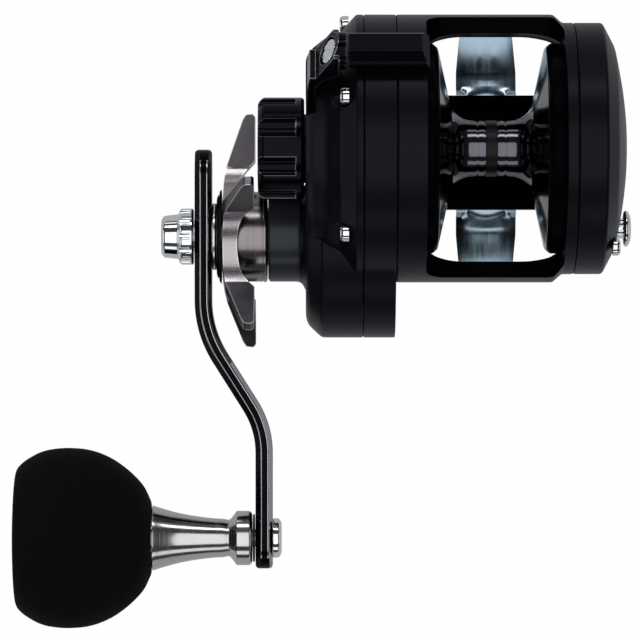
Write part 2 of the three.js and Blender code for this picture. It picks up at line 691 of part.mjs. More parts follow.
// The cam plate under the yoke, with two ramps that lift the yoke when the lever turns it.
function clutchCam() {
  const ring = disc(CAM.left, CAM.right, CAM.radius, 0, ROUND / 2);
  const arm = turned(
    block(CAM.left, CAM.right, 6, CAM.armEnd, -CAM.armHalf, CAM.armHalf), LINK_PIN.angle,
  );
  const outline = polygon([
    [CAM.right, -WEDGE.start], [WEDGE.foot, -WEDGE.start], [WEDGE.top, -WEDGE.rampEnd],
    [WEDGE.top, -WEDGE.end], [CAM.right, -WEDGE.end],
  ]);
  const wedge = alongZ(outline, WEDGE.inner, WEDGE.outer).rotateX(-Math.PI / 2);
  const bridge = block(CAM.left, CAM.right, 4, WEDGE.outer, WEDGE.start, WEDGE.end);
  const ramps = POST.angles.flatMap((angle) => [
    turned(wedge, angle),
    turned(bridge, angle),
  ]);
  const pinHole = disc(CAM.left - BITE, CAM.right + BITE, LINK_PIN.radius + GAP);
  return cut(
    join(ring, arm, ...ramps),
    disc(CAM.left - BITE, CAM.right + BITE, CAM.bore),
    turned(at(pinHole, LINK_PIN.orbit, 0), LINK_PIN.angle),
  );
}

// ---------------------------------------------------------------- clutch lever
// The lever's own pieces are drawn pointing along +Y and then turned up to the lever's angle.
const LEVER = {
  halfWidth: 5, outer: -48.8, inner: -46.9, barrelLeft: -44.2, barrelRight: -38.6, barrelRadius: 4.8,
  orbit: 39.3,
};
const LEVER_SCREW = { x0: -44.8, headHeight: 1.5, headRadius: 3, shankRadius: 1.2, shankEnd: -32.8 };
const PADDLE = { left: -38.2, right: -17.1, halfWidth: 5.1, low: 37.2, high: 41.6, bevel: 0.8 };

function clutchLever() {
  const outline = polygon([
    [LEVER.outer, 11], [LEVER.outer, 30.5], [-48.2, 35], [-46.6, 38.6], [-44.6, 41.4],
    [-41, 41.4], [-41, 35.2], [-44, 33.8], [LEVER.inner, 30.4], [LEVER.inner, 11],
  ]);
  const strap = alongZ(outline, -LEVER.halfWidth, LEVER.halfWidth);
  const hub = disc(LEVER.outer, LEVER.inner, LEVER_HUB.radius, 0, ROUND / 2);
  const barrel = at(
    bevelledDisc(LEVER.barrelLeft, LEVER.barrelRight, LEVER.barrelRadius, 0, 0.6), LEVER.orbit, 0,
  );
  const screwHead = at(disc(LEVER.barrelLeft - 3, -42.9, 3.4), LEVER.orbit, 0);
  const screwHole = at(disc(-44, LEVER.barrelRight + BITE, 1.5, 0, SMALL / 2), LEVER.orbit, 0);
  const bore = disc(LEVER.outer - BITE, LEVER.inner + BITE, LEVER_HUB.bore, 0, ROUND / 2);
  return turned(cut(join(strap, hub, barrel), screwHead, screwHole, bore), LEVER_ANGLE);
}

function thumbBar() {
  const { halfWidth: w, low, high, bevel: b } = PADDLE;
  const section = polygon([
    [low, -w + b], [low + b, -w], [high - b, -w], [high, -w + b], [high, w - 3], [high - 1.4, w],
    [low + b, w], [low, w - b],
  ]);
  const bar = alongX(section, PADDLE.left, PADDLE.right);
  const clip = polygon([
    [PADDLE.right - 2.6, high + 1], [PADDLE.right + 1, high + 1], [PADDLE.right + 1, high - 3.4],
  ]);
  const hole = at(disc(PADDLE.left - BITE, -32.4, 1.5, 0, SMALL / 2), LEVER.orbit, 0);
  return turned(cut(bar, alongZ(clip, -w - 1, w + 1), hole), LEVER_ANGLE);
}

// ---------------------------------------------------------------- drive line
const DRAG_STACK = { right: -33.5, thickness: 0.8, radius: 17.5 };
const SLEEVE = { left: -60.1, right: -37.9, radius: 7.7 };

// The nth disc of the drag stack, counted from the main gear.
function dragDisc(n, radius, keyed) {
  const x1 = DRAG_STACK.right - n * (DRAG_STACK.thickness + GAP);
  const x0 = x1 - DRAG_STACK.thickness;
  if (!keyed) return disc(x0, x1, radius, SHAFT_BORE + 1.5, ROUND / 2);
  return cut(disc(x0, x1, radius, 0, ROUND / 2), keyedHole(x0, x1));
}

function mainShaft() {
  const flatsRight = -29.4;
  const flange = { right: -28.2, radius: 7 };
  return join(
    alongX(flattedCircle(SHAFT_RADIUS, SHAFT_FLAT), -84.6, flatsRight + GAP),
    disc(flatsRight, flange.right, flange.radius, 0, SMALL),
    disc(flange.right - GAP, SHAFT_BEARING.right, SHAFT_BEARING.bore - GAP, 0, SMALL),
  );
}

const RATCHET = { left: -31.2, right: -29.7, teeth: 12, tip: 13, root: 11.3, first: 214 };

function ratchetWheel() {
  const points = [];
  for (let i = 0; i < RATCHET.teeth; i++) {
    const angle = RATCHET.first + (360 / RATCHET.teeth) * i;
    points.push(around(RATCHET.root, angle), around(RATCHET.tip, angle));
  }
  const wheel = alongX(polygon(points), RATCHET.left, RATCHET.right);
  return cut(wheel, keyedHole(RATCHET.left, RATCHET.right));
}

// Drawn engaged, with its tip against the steep face of a ratchet tooth, then lifted to rest.
function ratchetPawl() {
  const pivot = around(PAWL.pivotRadius, PAWL.pivotAngle);
  const tip = around(RATCHET.root + GAP, RATCHET.first - PAWL.backlash);
  const heel = around(RATCHET.root + PAWL.depth, RATCHET.first - PAWL.backlash);
  const span = Math.atan2(tip[1] - pivot[1], tip[0] - pivot[0]);
  const points = [];
  for (let i = 0; i <= 10; i++) {
    const angle = span + Math.PI / 2 + (Math.PI * i) / 10;
    points.push([
      pivot[0] + PAWL.bossRadius * Math.cos(angle), pivot[1] + PAWL.bossRadius * Math.sin(angle),
    ]);
  }
  points.push(heel, tip);
  const body = alongX(polygon(points), RATCHET.left + 0.1, RATCHET.right - 0.1);
  const hole = at(
    disc(RATCHET.left - BITE, RATCHET.right + BITE, PAWL.pinRadius + GAP), pivot[0], pivot[1],
  );
  const lifted = at(cut(body, hole), -pivot[0], -pivot[1]);
  return at(turned(lifted, -PAWL.lift), pivot[0], pivot[1]);
}

// ---------------------------------------------------------------- star drag
const STAR = {
  left: -71.6, ringRight: -67.7, ringRadius: 13.2, hubRadius: 12.2, hubRight: -59.6, blades: 5,
  firstBlade: -7.3, cavityLeft: -68.6, cavityRadius: 9.9, cavityFlat: 8.6, bore: 6.4,
};
const BLADE = { halfTip: 1.5, halfRoot: 4, shoulder: 17 };

// One blade in its own plane, pointing along +Y, thicker where it leaves the ring.
function starBlade() {
  const side = new THREE.Shape();
  side.moveTo(-71.4, 10.5);
  side.lineTo(-70.6, 19);
  side.lineTo(-66.4, 31.4);
  side.lineTo(-65.2, 33.1);
  side.lineTo(-63.6, 33.7);
  side.lineTo(-62.9, 32);
  side.lineTo(-62.9, 20.4);
  side.quadraticCurveTo(-66.2, 18.4, -67, 15.2);
  side.lineTo(-67.2, 10.5);
  const flat = alongZ(side, -BLADE.halfRoot, BLADE.halfRoot);
  const front = polygon([
    [10, -BLADE.halfRoot], [14.5, -BLADE.halfRoot], [BLADE.shoulder + 1.5, -BLADE.halfTip - 0.5],
    [26, -BLADE.halfTip], [35, -BLADE.halfTip + 0.3], [35, BLADE.halfTip - 0.3],
    [26, BLADE.halfTip], [BLADE.shoulder + 1.5, BLADE.halfTip + 0.5], [14.5, BLADE.halfRoot],
    [10, BLADE.halfRoot],
  ]);
  return common(flat, alongX(front, STAR.left, -60));
}

function starWheel() {
  const body = revolve([
    [STAR.left, 0], [STAR.left, STAR.hubRadius], [STAR.left + 0.8, STAR.ringRadius],
    [STAR.ringRight, STAR.ringRadius - 0.3], [-67.4, STAR.hubRadius],
    [STAR.hubRight - 0.6, STAR.hubRadius], [STAR.hubRight, STAR.hubRadius - 0.6], [STAR.hubRight, 0],
  ], ROUND / 2);
  const blade = starBlade();
  const blades = [];
  for (let i = 0; i < STAR.blades; i++) {
    blades.push(turned(blade, STAR.firstBlade + (360 / STAR.blades) * i));
  }
  const cavity = alongX(
    flattedCircle(STAR.cavityRadius, STAR.cavityFlat), STAR.cavityLeft, STAR.hubRight + BITE,
  );
  return cut(join(body, ...blades), cavity, disc(STAR.left - BITE, STAR.cavityLeft + 1, STAR.bore));
}

function dragNut() {
  const [left, right] = [-66.9, -62.5];
  const nut = alongX(flattedCircle(STAR.cavityRadius - 0.5, STAR.cavityFlat - 0.4), left, right);
  return cut(nut, disc(left - BITE, right + BITE, SHAFT_BORE));
}

function coneWasher() {
  const [left, right] = [-73.2, -71.9];
  return revolve([[left, SHAFT_BORE], [left, 10.9], [right, 12.8], [right, SHAFT_BORE]], ROUND / 2);
}

function springWasher() {
  const [left, thickness, cone] = [-61.5, 0.6, 0.5];
  return revolve([
    [left, SHAFT_BORE], [left + cone, 8.1], [left + cone + thickness, 8.1],
    [left + thickness, SHAFT_BORE],
  ], ROUND / 2);
}

// ---------------------------------------------------------------- handle
const ARM = {
  thickness: 4.6, hubX: -76.8, knobX: -60.5, hubEnd: 23.4, knobEnd: 8.2, bendStart: -25.4, bendEnd: -51.2,
  hubHalf: 8, knobHalf: 6.6,
};

function handleArm() {
  const half = ARM.thickness / 2;
  const far = -HANDLE_REACH - ARM.knobEnd;
  const skew = 1.1; // keeps the sloping part as thick as the straight parts
  const side = polygon([
    [ARM.hubX - half, ARM.hubEnd], [ARM.hubX - half, ARM.bendStart - skew],
    [ARM.knobX - half, ARM.bendEnd - skew], [ARM.knobX - half, far], [ARM.knobX + half, far],
    [ARM.knobX + half, ARM.bendEnd + skew], [ARM.hubX + half, ARM.bendStart + skew],
    [ARM.hubX + half, ARM.hubEnd],
  ]);
  const plan = new THREE.Shape();
  plan.absarc(ARM.hubEnd - ARM.hubHalf, 0, ARM.hubHalf, -Math.PI / 2, Math.PI / 2, false);
  plan.lineTo(ARM.bendStart, ARM.hubHalf - 0.4);
  plan.lineTo(ARM.bendEnd, ARM.knobHalf);
  plan.absarc(far + ARM.knobHalf, 0, ARM.knobHalf, Math.PI / 2, (3 * Math.PI) / 2, false);
  plan.lineTo(ARM.bendEnd, -ARM.knobHalf);
  plan.lineTo(ARM.bendStart, -ARM.hubHalf + 0.4);
  const body = common(
    alongZ(side, -ARM.hubHalf - 1, ARM.hubHalf + 1),
    alongX(plan, ARM.hubX - 4, ARM.knobX + 4),
  );
  return cut(
    body,
    keyedHole(ARM.hubX - half, ARM.hubX + half),
    at(disc(ARM.knobX - 4, ARM.knobX + 4, KNOB_PIN.radius + GAP), -HANDLE_REACH, 0),
  );
}

const NUT = { left: -88.1, waist: -83.3, right: -79.4, radius: 7.6, capRadius: 6.1, flutes: 12 };

// The nut: a fluted ring with a tapered cap over the shaft's end.
function handleNut() {
  const body = revolve([
    [NUT.left, 0], [NUT.left, NUT.capRadius - 1.8], [NUT.left + 0.8, NUT.capRadius - 0.7],
    [NUT.waist, NUT.capRadius], [NUT.waist, NUT.radius - 0.5], [NUT.waist + 0.6, NUT.radius],
    [NUT.right, NUT.radius], [NUT.right, SHAFT_BORE], [-85, SHAFT_BORE], [-85, 0],
  ], ROUND / 2);
  const flutes = [];
  for (let i = 0; i < NUT.flutes; i++) {
    const [y, z] = around(NUT.radius + 0.35, (360 / NUT.flutes) * i);
    flutes.push(at(disc(NUT.waist - GAP, NUT.right - 0.7, 0.9, 0, 8), y, z));
  }
  return cut(body, ...flutes);
}

// The pin through the arm that the knob spins on, and the screw in its outer end.
const KNOB_PIN = { headRight: -55.8, headLeft: -57.9, headRadius: 5.3, radius: 2.4, left: -116 };
const KNOB = { flangeRight: -63.7, gripLeft: -127.9, coreLeft: -120.4, coreRadius: 6, seat: 4.6 };

const PIN_SCREW = { x0: -118.2, headHeight: 1.6, headRadius: 3.6, shankRadius: 0.8, shankEnd: -112 };

function knobPin() {
  const { headLeft, headRight, headRadius, radius, left } = KNOB_PIN;
  const body = revolve([
    [left, 0], [headRight, 0], [headRight, headRadius - 0.8], [headRight - 0.8, headRadius],
    [headLeft, headRadius], [headLeft, radius], [left, radius],
  ], SMALL);
  return cut(
    body,
    block(headRight - 0.9, headRight + 1, -headRadius - 1, headRadius + 1, -0.6, 0.6),
    disc(left - 1, left + 5, 1.1, 0, SMALL / 2),
  );
}

function knobSleeve() {
  const taper = [[-90.4, 8.8], [-86, 7.4], [-80.5, 6.2], [-75, 5.3]];
  const body = revolve([
    [KNOB.coreLeft, KNOB_PIN.radius + GAP], [KNOB.coreLeft, KNOB.coreRadius],
    [-90.4, KNOB.coreRadius], ...taper, [-68.9, 5.2], [-68.9, 4.6], [-67.9, 4.6], [-67.9, 7.3],
    [KNOB.flangeRight - 0.4, 7.3], [KNOB.flangeRight, 6.9],
    [KNOB.flangeRight, KNOB_PIN.radius + GAP],
  ], ROUND / 2);
  return cut(
    body,
    disc(KNOB.flangeRight - 2.6, KNOB.flangeRight + BITE, KNOB.seat),
    disc(KNOB.coreLeft - BITE, KNOB_PIN.left + 3, KNOB.seat),
  );
}

// The foam grip: nearly a ball, with a flat outer end and a rounded shoulder to the sleeve.
function knobGrip() {
  const bore = KNOB.coreRadius + GAP;
  const outline = [
    [KNOB.gripLeft, 0], [KNOB.gripLeft + 1.5, 18], [-123, 20.9], [-118, 23.4], [-111.5, 24.1],
    [-105, 23.1], [-99.5, 19.9], [-95, 15.4], [-90.8, 9.6], [-90.8, bore],
    [KNOB.coreLeft - GAP, bore], [KNOB.coreLeft - GAP, 0],
  ];
  return revolve(outline, (ROUND * 2) / 3);
}

// ---------------------------------------------------------------- click
function clickTongue() {
  const reach = -CLICK.orbitY - CLICK.root - GAP - CLICK.travel;
  const outline = [
    [-2.6, -2.2], [0, -3], [reach - 4, -1.3], [reach - 1.4, -0.6], [reach, -0.15],
    [reach, 0.15], [reach - 1.4, 0.6], [reach - 4, 1.3], [0, 3], [-2.6, 2.2],
  ];
  const tongue = alongX(polygon(outline), CLICK.gearX, CLICK.gearX + CLICK.thickness);
  const hole = disc(CLICK.gearX - BITE, CLICK.gearX + 2, CLICK_KNOB.stemRadius + GAP);
  return cut(tongue, hole);
}

function clickKnob() {
  const { stemRadius, headRadius, headX, headHeight } = CLICK_KNOB;
  return revolve([
    [CLICK.gearX, 0], [headX + headHeight, 0], [headX + headHeight, headRadius - 1.2],
    [headX + 0.6, headRadius], [headX, headRadius - 0.6], [headX, stemRadius],
    [CLICK.gearX, stemRadius],
  ], SMALL);
}

// ---------------------------------------------------------------- assembly
const reel = new THREE.Group();

const spoolLine = new THREE.Group();
spoolLine.position.set(0, 0, SPOOL_HEIGHT);
reel.add(spoolLine);

const driveLine = new THREE.Group();
driveLine.position.set(0, DRIVE_OFFSET.y, DRIVE_OFFSET.z);
spoolLine.add(driveLine);

const knobLine = new THREE.Group();
knobLine.position.set(0, -HANDLE_REACH, 0);
driveLine.add(knobLine);

function add(group, name, finish, geometry, y = 0, z = 0) {
  const mesh = piece(name, geometry, finish);
  mesh.position.set(0, y, z);
  group.add(mesh);
}

// Casings, foot and their screws.
add(reel, 'reel_foot', 'footSilver', reelFoot());
[-FOOT_SCREWS.y, FOOT_SCREWS.y].forEach((y, i) => {
  add(reel, `foot_screw_${i + 1}`, 'steel', footScrew(), y);
});
add(spoolLine, 'frame', 'anodised', frame());
add(spoolLine, 'gear_side_cover', 'anodised', gearSideCover());
add(spoolLine, 'gear_side_plate', 'anodised', gearSidePlate());
add(spoolLine, 'palm_side_plate', 'anodised', palmSidePlate());
SCREWS.angles.forEach((angle, i) => {
  const body = screw({ ...SCREWS, x0: SCREWS.headFace, shankEnd: SCREWS.end });
  add(spoolLine, `cover_screw_${i + 1}`, 'chrome', body, ...around(SCREWS.radius, angle));
});
PALM_SCREWS.angles.forEach((angle, i) => {
  const body = screw({ ...PALM_SCREWS, x0: -PALM_SCREWS.headFace, shankEnd: -PALM_SCREWS.end });
  const facing = body.rotateZ(Math.PI);
  add(spoolLine, `palm_screw_${i + 1}`, 'chrome', facing, ...around(PALM_SCREWS.radius, angle));
});

// Spool, its shaft, bearings and cast control.
add(spoolLine, 'spool', 'glossBlack', spool());
add(spoolLine, 'line_band', 'rubber', lineBand());
add(spoolLine, 'spool_shaft', 'steel', spoolShaft());
add(spoolLine, 'clutch_cross_pin', 'steel', crossPinBlank(SPOOL_SHAFT.pinRadius, SPOOL_SHAFT.pinReach));
add(spoolLine, 'click_gear', 'brass', clickGear());
const spoolBearing = (x0, x1) => bearing(x0, x1, SPOOL_BEARING.bore, SPOOL_BEARING.radius);
add(spoolLine, 'spool_bearing_left', 'steel', spoolBearing(-27.4, -25.5));
add(spoolLine, 'spool_bearing_right', 'steel', spoolBearing(24.6, 27.1));
add(spoolLine, 'cast_control_cap', 'anodised', castControlCap());

// Clutch.
add(spoolLine, 'pinion', 'brass', pinion());
add(spoolLine, 'pinion_bearing', 'steel', bearing(-48.7, -45.7, PINION.trunnion + GAP, 6));
add(spoolLine, 'yoke', 'steel', yoke());
POST.angles.forEach((angle, i) => {
  const place = around(POST.orbit, angle);
  const post = disc(X.ceiling + GAP, X.plateFloor - GAP, POST.radius, 0, SMALL / 2);
  const spring = coilSpring(YOKE_SPRING, X.ceiling + GAP, YOKE.left - GAP);
  add(spoolLine, `yoke_post_${i + 1}`, 'steel', post, ...place);
  add(spoolLine, `yoke_spring_${i + 1}`, 'steel', spring, ...place);
});
add(spoolLine, 'clutch_cam', 'steel', clutchCam());
const linkPin = disc(LEVER.inner + GAP, CAM.right - GAP, LINK_PIN.radius, 0, SMALL / 2);
add(spoolLine, 'clutch_link_pin', 'steel', linkPin, ...around(LINK_PIN.orbit, LINK_PIN.angle));
add(spoolLine, 'clutch_lever', 'glossBlack', clutchLever());
add(spoolLine, 'thumb_bar', 'anodised', thumbBar());
add(spoolLine, 'lever_screw', 'chrome', screw(LEVER_SCREW), ...around(LEVER.orbit, LEVER_ANGLE));

// Main gear, drag stack and anti-reverse.
const { radius: dragRadius } = DRAG_STACK;
add(driveLine, 'main_shaft', 'steel', mainShaft());
add(driveLine, 'main_gear', 'brass', mainGear());
add(driveLine, 'drag_washer_1', 'carbon', dragDisc(0, dragRadius, false));
add(driveLine, 'drag_plate_1', 'steel', dragDisc(1, dragRadius - GAP, true));
add(driveLine, 'drag_washer_2', 'carbon', dragDisc(2, dragRadius, false));
add(driveLine, 'pressure_plate', 'steel', dragDisc(3, dragRadius, true));
add(driveLine, 'one_way_sleeve', 'steel', disc(SLEEVE.left, SLEEVE.right, SLEEVE.radius, SHAFT_BORE));
const oneWay = bearing(-58.2, -49.5, SLEEVE.radius + GAP, DRIVE_BOSS.bore - GAP);
add(driveLine, 'one_way_bearing', 'steel', oneWay);
const { left, right, bore, radius } = SHAFT_BEARING;
add(driveLine, 'main_shaft_bearing', 'steel', bearing(left, right, bore, radius));
add(driveLine, 'ratchet_wheel', 'steel', ratchetWheel());
add(driveLine, 'ratchet_pawl', 'steel', ratchetPawl());

// Star drag.
add(driveLine, 'star_wheel', 'pewter', starWheel());
add(driveLine, 'drag_nut', 'brass', dragNut());
add(driveLine, 'spring_washer', 'steel', springWasher());
add(driveLine, 'cone_washer', 'anodised', coneWasher());
add(driveLine, 'arm_collar', 'gunSilver', bevelledDisc(-74.2, -73.5, 9, SHAFT_BORE, GAP / 2, ROUND / 2));

// Handle and knob.
add(driveLine, 'handle_arm', 'glossBlack', handleArm());
add(driveLine, 'handle_nut', 'chrome', handleNut());
add(knobLine, 'knob_pin', 'chrome', knobPin());
add(knobLine, 'knob_washer', 'rubber', disc(-63.4, -63.1, 6.4, KNOB_PIN.radius + GAP));
const knobBearing = (x0, x1) => bearing(x0, x1, KNOB_PIN.radius + GAP, KNOB.seat - GAP);
add(knobLine, 'knob_bearing_inner', 'steel', knobBearing(-66, -64));
add(knobLine, 'knob_bearing_outer', 'steel', knobBearing(-115.4, -113.4));
add(knobLine, 'knob_pin_screw', 'steel', screw(PIN_SCREW));
add(knobLine, 'knob_sleeve', 'gunSilver', knobSleeve());
add(knobLine, 'knob_grip', 'foam', knobGrip());

// Click.
add(spoolLine, 'click_tongue', 'steel', clickTongue(), CLICK.orbitY);
add(spoolLine, 'click_knob', 'chrome', clickKnob(), CLICK.orbitY);

export default reel;
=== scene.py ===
"""The looks of a star-drag trolling reel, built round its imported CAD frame.

Lengths are in millimetres inside this script and become metres when a mesh is made.
"""

import json
import math

import bmesh
import bpy
from mathutils import Matrix, Vector

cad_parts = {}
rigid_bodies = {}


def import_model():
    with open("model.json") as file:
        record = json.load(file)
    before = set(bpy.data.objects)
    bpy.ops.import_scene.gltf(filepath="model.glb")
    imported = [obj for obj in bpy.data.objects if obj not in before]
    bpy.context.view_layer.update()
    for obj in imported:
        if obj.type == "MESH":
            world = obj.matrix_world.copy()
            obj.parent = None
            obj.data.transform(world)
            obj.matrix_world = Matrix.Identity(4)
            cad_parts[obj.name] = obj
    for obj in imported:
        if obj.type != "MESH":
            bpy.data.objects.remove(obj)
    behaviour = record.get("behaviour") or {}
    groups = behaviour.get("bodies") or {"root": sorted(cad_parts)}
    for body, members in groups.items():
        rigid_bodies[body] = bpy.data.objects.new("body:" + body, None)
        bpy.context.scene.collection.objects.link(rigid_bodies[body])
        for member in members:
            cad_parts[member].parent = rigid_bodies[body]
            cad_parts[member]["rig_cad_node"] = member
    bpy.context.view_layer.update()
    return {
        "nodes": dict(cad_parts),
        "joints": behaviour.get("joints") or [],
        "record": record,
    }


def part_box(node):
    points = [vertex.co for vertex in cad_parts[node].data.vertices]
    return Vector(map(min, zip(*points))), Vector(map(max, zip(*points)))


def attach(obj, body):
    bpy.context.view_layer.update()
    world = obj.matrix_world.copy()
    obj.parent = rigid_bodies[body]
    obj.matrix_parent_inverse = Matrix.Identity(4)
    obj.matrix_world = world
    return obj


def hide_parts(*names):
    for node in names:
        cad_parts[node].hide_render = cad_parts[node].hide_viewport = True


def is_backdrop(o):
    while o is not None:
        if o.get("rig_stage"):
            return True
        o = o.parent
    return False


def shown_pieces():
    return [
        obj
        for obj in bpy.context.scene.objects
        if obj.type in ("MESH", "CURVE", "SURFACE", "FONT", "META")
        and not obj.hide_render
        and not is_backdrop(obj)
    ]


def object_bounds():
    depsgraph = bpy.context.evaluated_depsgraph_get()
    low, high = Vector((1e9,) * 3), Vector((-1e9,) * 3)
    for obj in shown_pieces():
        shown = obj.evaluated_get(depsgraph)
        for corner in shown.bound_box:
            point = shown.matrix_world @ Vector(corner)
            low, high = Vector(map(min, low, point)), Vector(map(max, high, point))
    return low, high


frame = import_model()

MM = 0.001
RECORD = frame["record"]
JOINTS = {joint["name"]: joint for joint in frame["joints"]}
BODY_OF = {node: body for body, nodes in RECORD["behaviour"]["bodies"].items() for node in nodes}
SLOT_OF = {part["node"]: part["material_slot"] for part in RECORD["subparts"]}

# Axes along X, as (y, z) in millimetres.
SPOOL = tuple(v / MM for v in JOINTS["spool_spin"]["pos_m"][1:])
DRIVE = tuple(v / MM for v in JOINTS["handle_turn"]["pos_m"][1:])
KNOB = tuple(v / MM for v in JOINTS["knob_spin"]["pos_m"][1:])
LEVER_ANGLE = 52  # the clutch lever at rest, from +Y towards +Z
FINE = 160  # segments of a large turned piece
COARSE = 64  # segments of a small turned piece
SMOOTH_ANGLE = 32  # edges sharper than this, in degrees, stay crisp
MERGE = 1e-4  # points closer than this are one point


# ---- measuring the frame
class Span:
    """A node's corners, its ends along X, its half height and its middle line, in millimetres."""

    def __init__(self, node):
        low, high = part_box(node)
        self.low, self.high = low / MM, high / MM
        self.x0, self.x1 = self.low.x, self.high.x
        self.radius = (self.high.z - self.low.z) / 2
        self.line = ((self.low.y + self.high.y) / 2, (self.low.z + self.high.z) / 2)


def around(radius, angle, line=(0, 0)):
    """A point at a radius and an angle (from +Y towards +Z) about a line along X, as (y, z)."""
    turn = math.radians(angle)
    return line[0] + radius * math.cos(turn), line[1] + radius * math.sin(turn)


def chord(radius, depth):
    """Half a circle's chord, at a depth inside its edge."""
    return math.sqrt(max(0.0, radius ** 2 - (radius - depth) ** 2))


# ---- outlines
def rounded(outline, steps=5, closed=True):
    """Turns every (a, b, fillet) corner of an outline into a small curve; (a, b) corners stay sharp."""
    result = []
    count = len(outline)
    fillets = [corner[2] if len(corner) > 2 else 0 for corner in outline]
    for i, corner in enumerate(outline):
        here = Vector(corner[:2])
        fillet = fillets[i]
        if fillet <= 0 or (not closed and i in (0, count - 1)):
            result.append(tuple(here))
            continue
        ends = (i - 1, (i + 1) % count)
        before, after = (Vector(outline[j][:2]) - here for j in ends)
        room = [0.48 if fillets[j] else 0.95 for j in ends]  # a sharp neighbour leaves its side free
        reach = min(fillet, room[0] * before.length, room[1] * after.length)
        start, end = here + before.normalized() * reach, here + after.normalized() * reach
        for step in range(steps + 1):
            t = step / steps
            result.append(tuple(start * (1 - t) ** 2 + here * 2 * t * (1 - t) + end * t * t))
    return result


def circle(radius, centre=(0, 0), segments=COARSE, start=0, sweep=360):
    """Points of a circle or an arc, in degrees."""
    count = segments if sweep == 360 else segments + 1
    points = []
    for i in range(count):
        turn = math.radians(start + sweep * i / segments)
        points.append((centre[0] + radius * math.cos(turn), centre[1] + radius * math.sin(turn)))
    return points


# ---- meshes
def new_object(name, build, smooth_angle=SMOOTH_ANGLE):
    """Makes an object from build(bm), which fills a bmesh in millimetres."""
    bm = bmesh.new()
    build(bm)
    bmesh.ops.remove_doubles(bm, verts=bm.verts, dist=MERGE)
    bmesh.ops.recalc_face_normals(bm, faces=bm.faces)
    bmesh.ops.scale(bm, vec=(MM, MM, MM), verts=bm.verts)
    mesh = bpy.data.meshes.new(name)
    bm.to_mesh(mesh)
    bm.free()
    piece = bpy.data.objects.new(name, mesh)
    bpy.context.scene.collection.objects.link(piece)
    smooth(piece, smooth_angle)
    return piece


def smooth(piece, angle=SMOOTH_ANGLE):
    """Smooth shading that stays crisp on edges sharper than the angle."""
    piece.data.shade_smooth()
    piece.data.set_sharp_from_angle(angle=math.radians(angle))


def join_rings(bm, ring, following):
    """Faces between two rings of points, either of which may be a single point on the axis."""
    count = max(len(ring), len(following))
    if count == 1:
        return
    for j in range(count):
        k = (j + 1) % count
        near, far = len(ring), len(following)
        corners = [ring[j % near], ring[k % near], following[k % far], following[j % far]]
        bm.faces.new(list(dict.fromkeys(corners)))


def skin(bm, rings):
    """A closed tube through rings of points, with a flat face at each end."""
    for ring, following in zip(rings, rings[1:]):
        join_rings(bm, ring, following)
    bm.faces.new(rings[0])
    bm.faces.new(list(reversed(rings[-1])))


def lathe(name, outline, line, segments=FINE, steps=5):
    """A piece turned about a line along X, from an outline of (x, radius, fillet) corners."""
    def build(bm):
        rings = []
        for x, radius in rounded(outline, steps):
            points = circle(radius, line, segments) if radius > MERGE else [line]
            rings.append([bm.verts.new((x, y, z)) for y, z in points])
        for ring, following in zip(rings, rings[1:] + rings[:1]):
            join_rings(bm, ring, following)

    return new_object(name, build)


def along_x(a, b, depth):
    return depth, a, b


def prism(name, points, low, high, place=along_x):
    """A polygon carried from low to high; place(a, b, depth) gives each point."""
    def build(bm):
        first = [bm.verts.new(place(a, b, low)) for a, b in points]
        last = [bm.verts.new(place(a, b, high)) for a, b in points]
        bm.faces.new(first)
        bm.faces.new(list(reversed(last)))
        for i in range(len(points)):
            j = (i + 1) % len(points)
            bm.faces.new((first[i], last[i], last[j], first[j]))

    return new_object(name, build)


def about(centre, matrix):
    """A matrix applied about a centre in place of the origin."""
    return Matrix.Translation(centre) @ matrix @ Matrix.Translation(-centre)


def turn(piece, angle, line):
    """Turns a piece's mesh about a line along X, from +Y towards +Z."""
    centre = Vector((0, *line)) * MM
    piece.data.transform(about(centre, Matrix.Rotation(math.radians(angle), 4, "X")))
    return piece


def settle(piece):
    """Applies a piece's modifiers to its mesh."""
    depsgraph = bpy.context.evaluated_depsgraph_get()
    mesh = bpy.data.meshes.new_from_object(piece.evaluated_get(depsgraph))
    piece.modifiers.clear()
    piece.data = mesh
    smooth(piece)


def combine(piece, tools, operation="DIFFERENCE"):
    """Cuts a piece with tools, or joins or intersects it with them; the tools are used up."""
    for tool in tools:
        modifier = piece.modifiers.new("combine", "BOOLEAN")
        modifier.operation = operation
        modifier.solver = "EXACT"
        modifier.object = tool
    settle(piece)
    for tool in tools:
        bpy.data.objects.remove(tool)
    return piece


def bevelled(piece, width, segments=2, angle=40):
    """Adds a bevel to a piece's sharp edges, and gives the modifier."""
    bevel = piece.modifiers.new("soft_edges", "BEVEL")
    bevel.width = width * MM
    bevel.segments = segments
    bevel.limit_method = "ANGLE"
    bevel.angle_limit = math.radians(angle)
    return bevel


def soften(piece, width, segments=2, angle=40):
    """Rounds a piece's sharp edges and evens the shading beside them."""
    bevelled(piece, width, segments, angle).harden_normals = True
    shading = piece.modifiers.new("even_shading", "WEIGHTED_NORMAL")
    shading.keep_sharp = True
    return piece


def paint(piece, material):
    """Puts a material in a piece's first slot; a second slot, if there is one, stays."""
    slots = piece.data.materials
    if slots:
        slots[0] = material
    else:
        slots.append(material)


def repaint(piece, material, chosen):
    """Gives a second material to the faces that chosen(face) picks."""
    piece.data.materials.append(material)
    for face in piece.data.polygons:
        face.material_index = int(chosen(face))


def stands_for(piece, *nodes, material=None):
    """Puts a piece in place of CAD nodes: same body, same material slot, unless a material is given."""
    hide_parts(*nodes)
    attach(piece, BODY_OF[nodes[0]])
    paint(piece, material or MATERIALS[SLOT_OF[nodes[0]]])
    return piece


def distance_to(face, line):
    """Millimetres from a face's centre to a line along X."""
    return math.hypot(face.center.y / MM - line[0], face.center.z / MM - line[1])


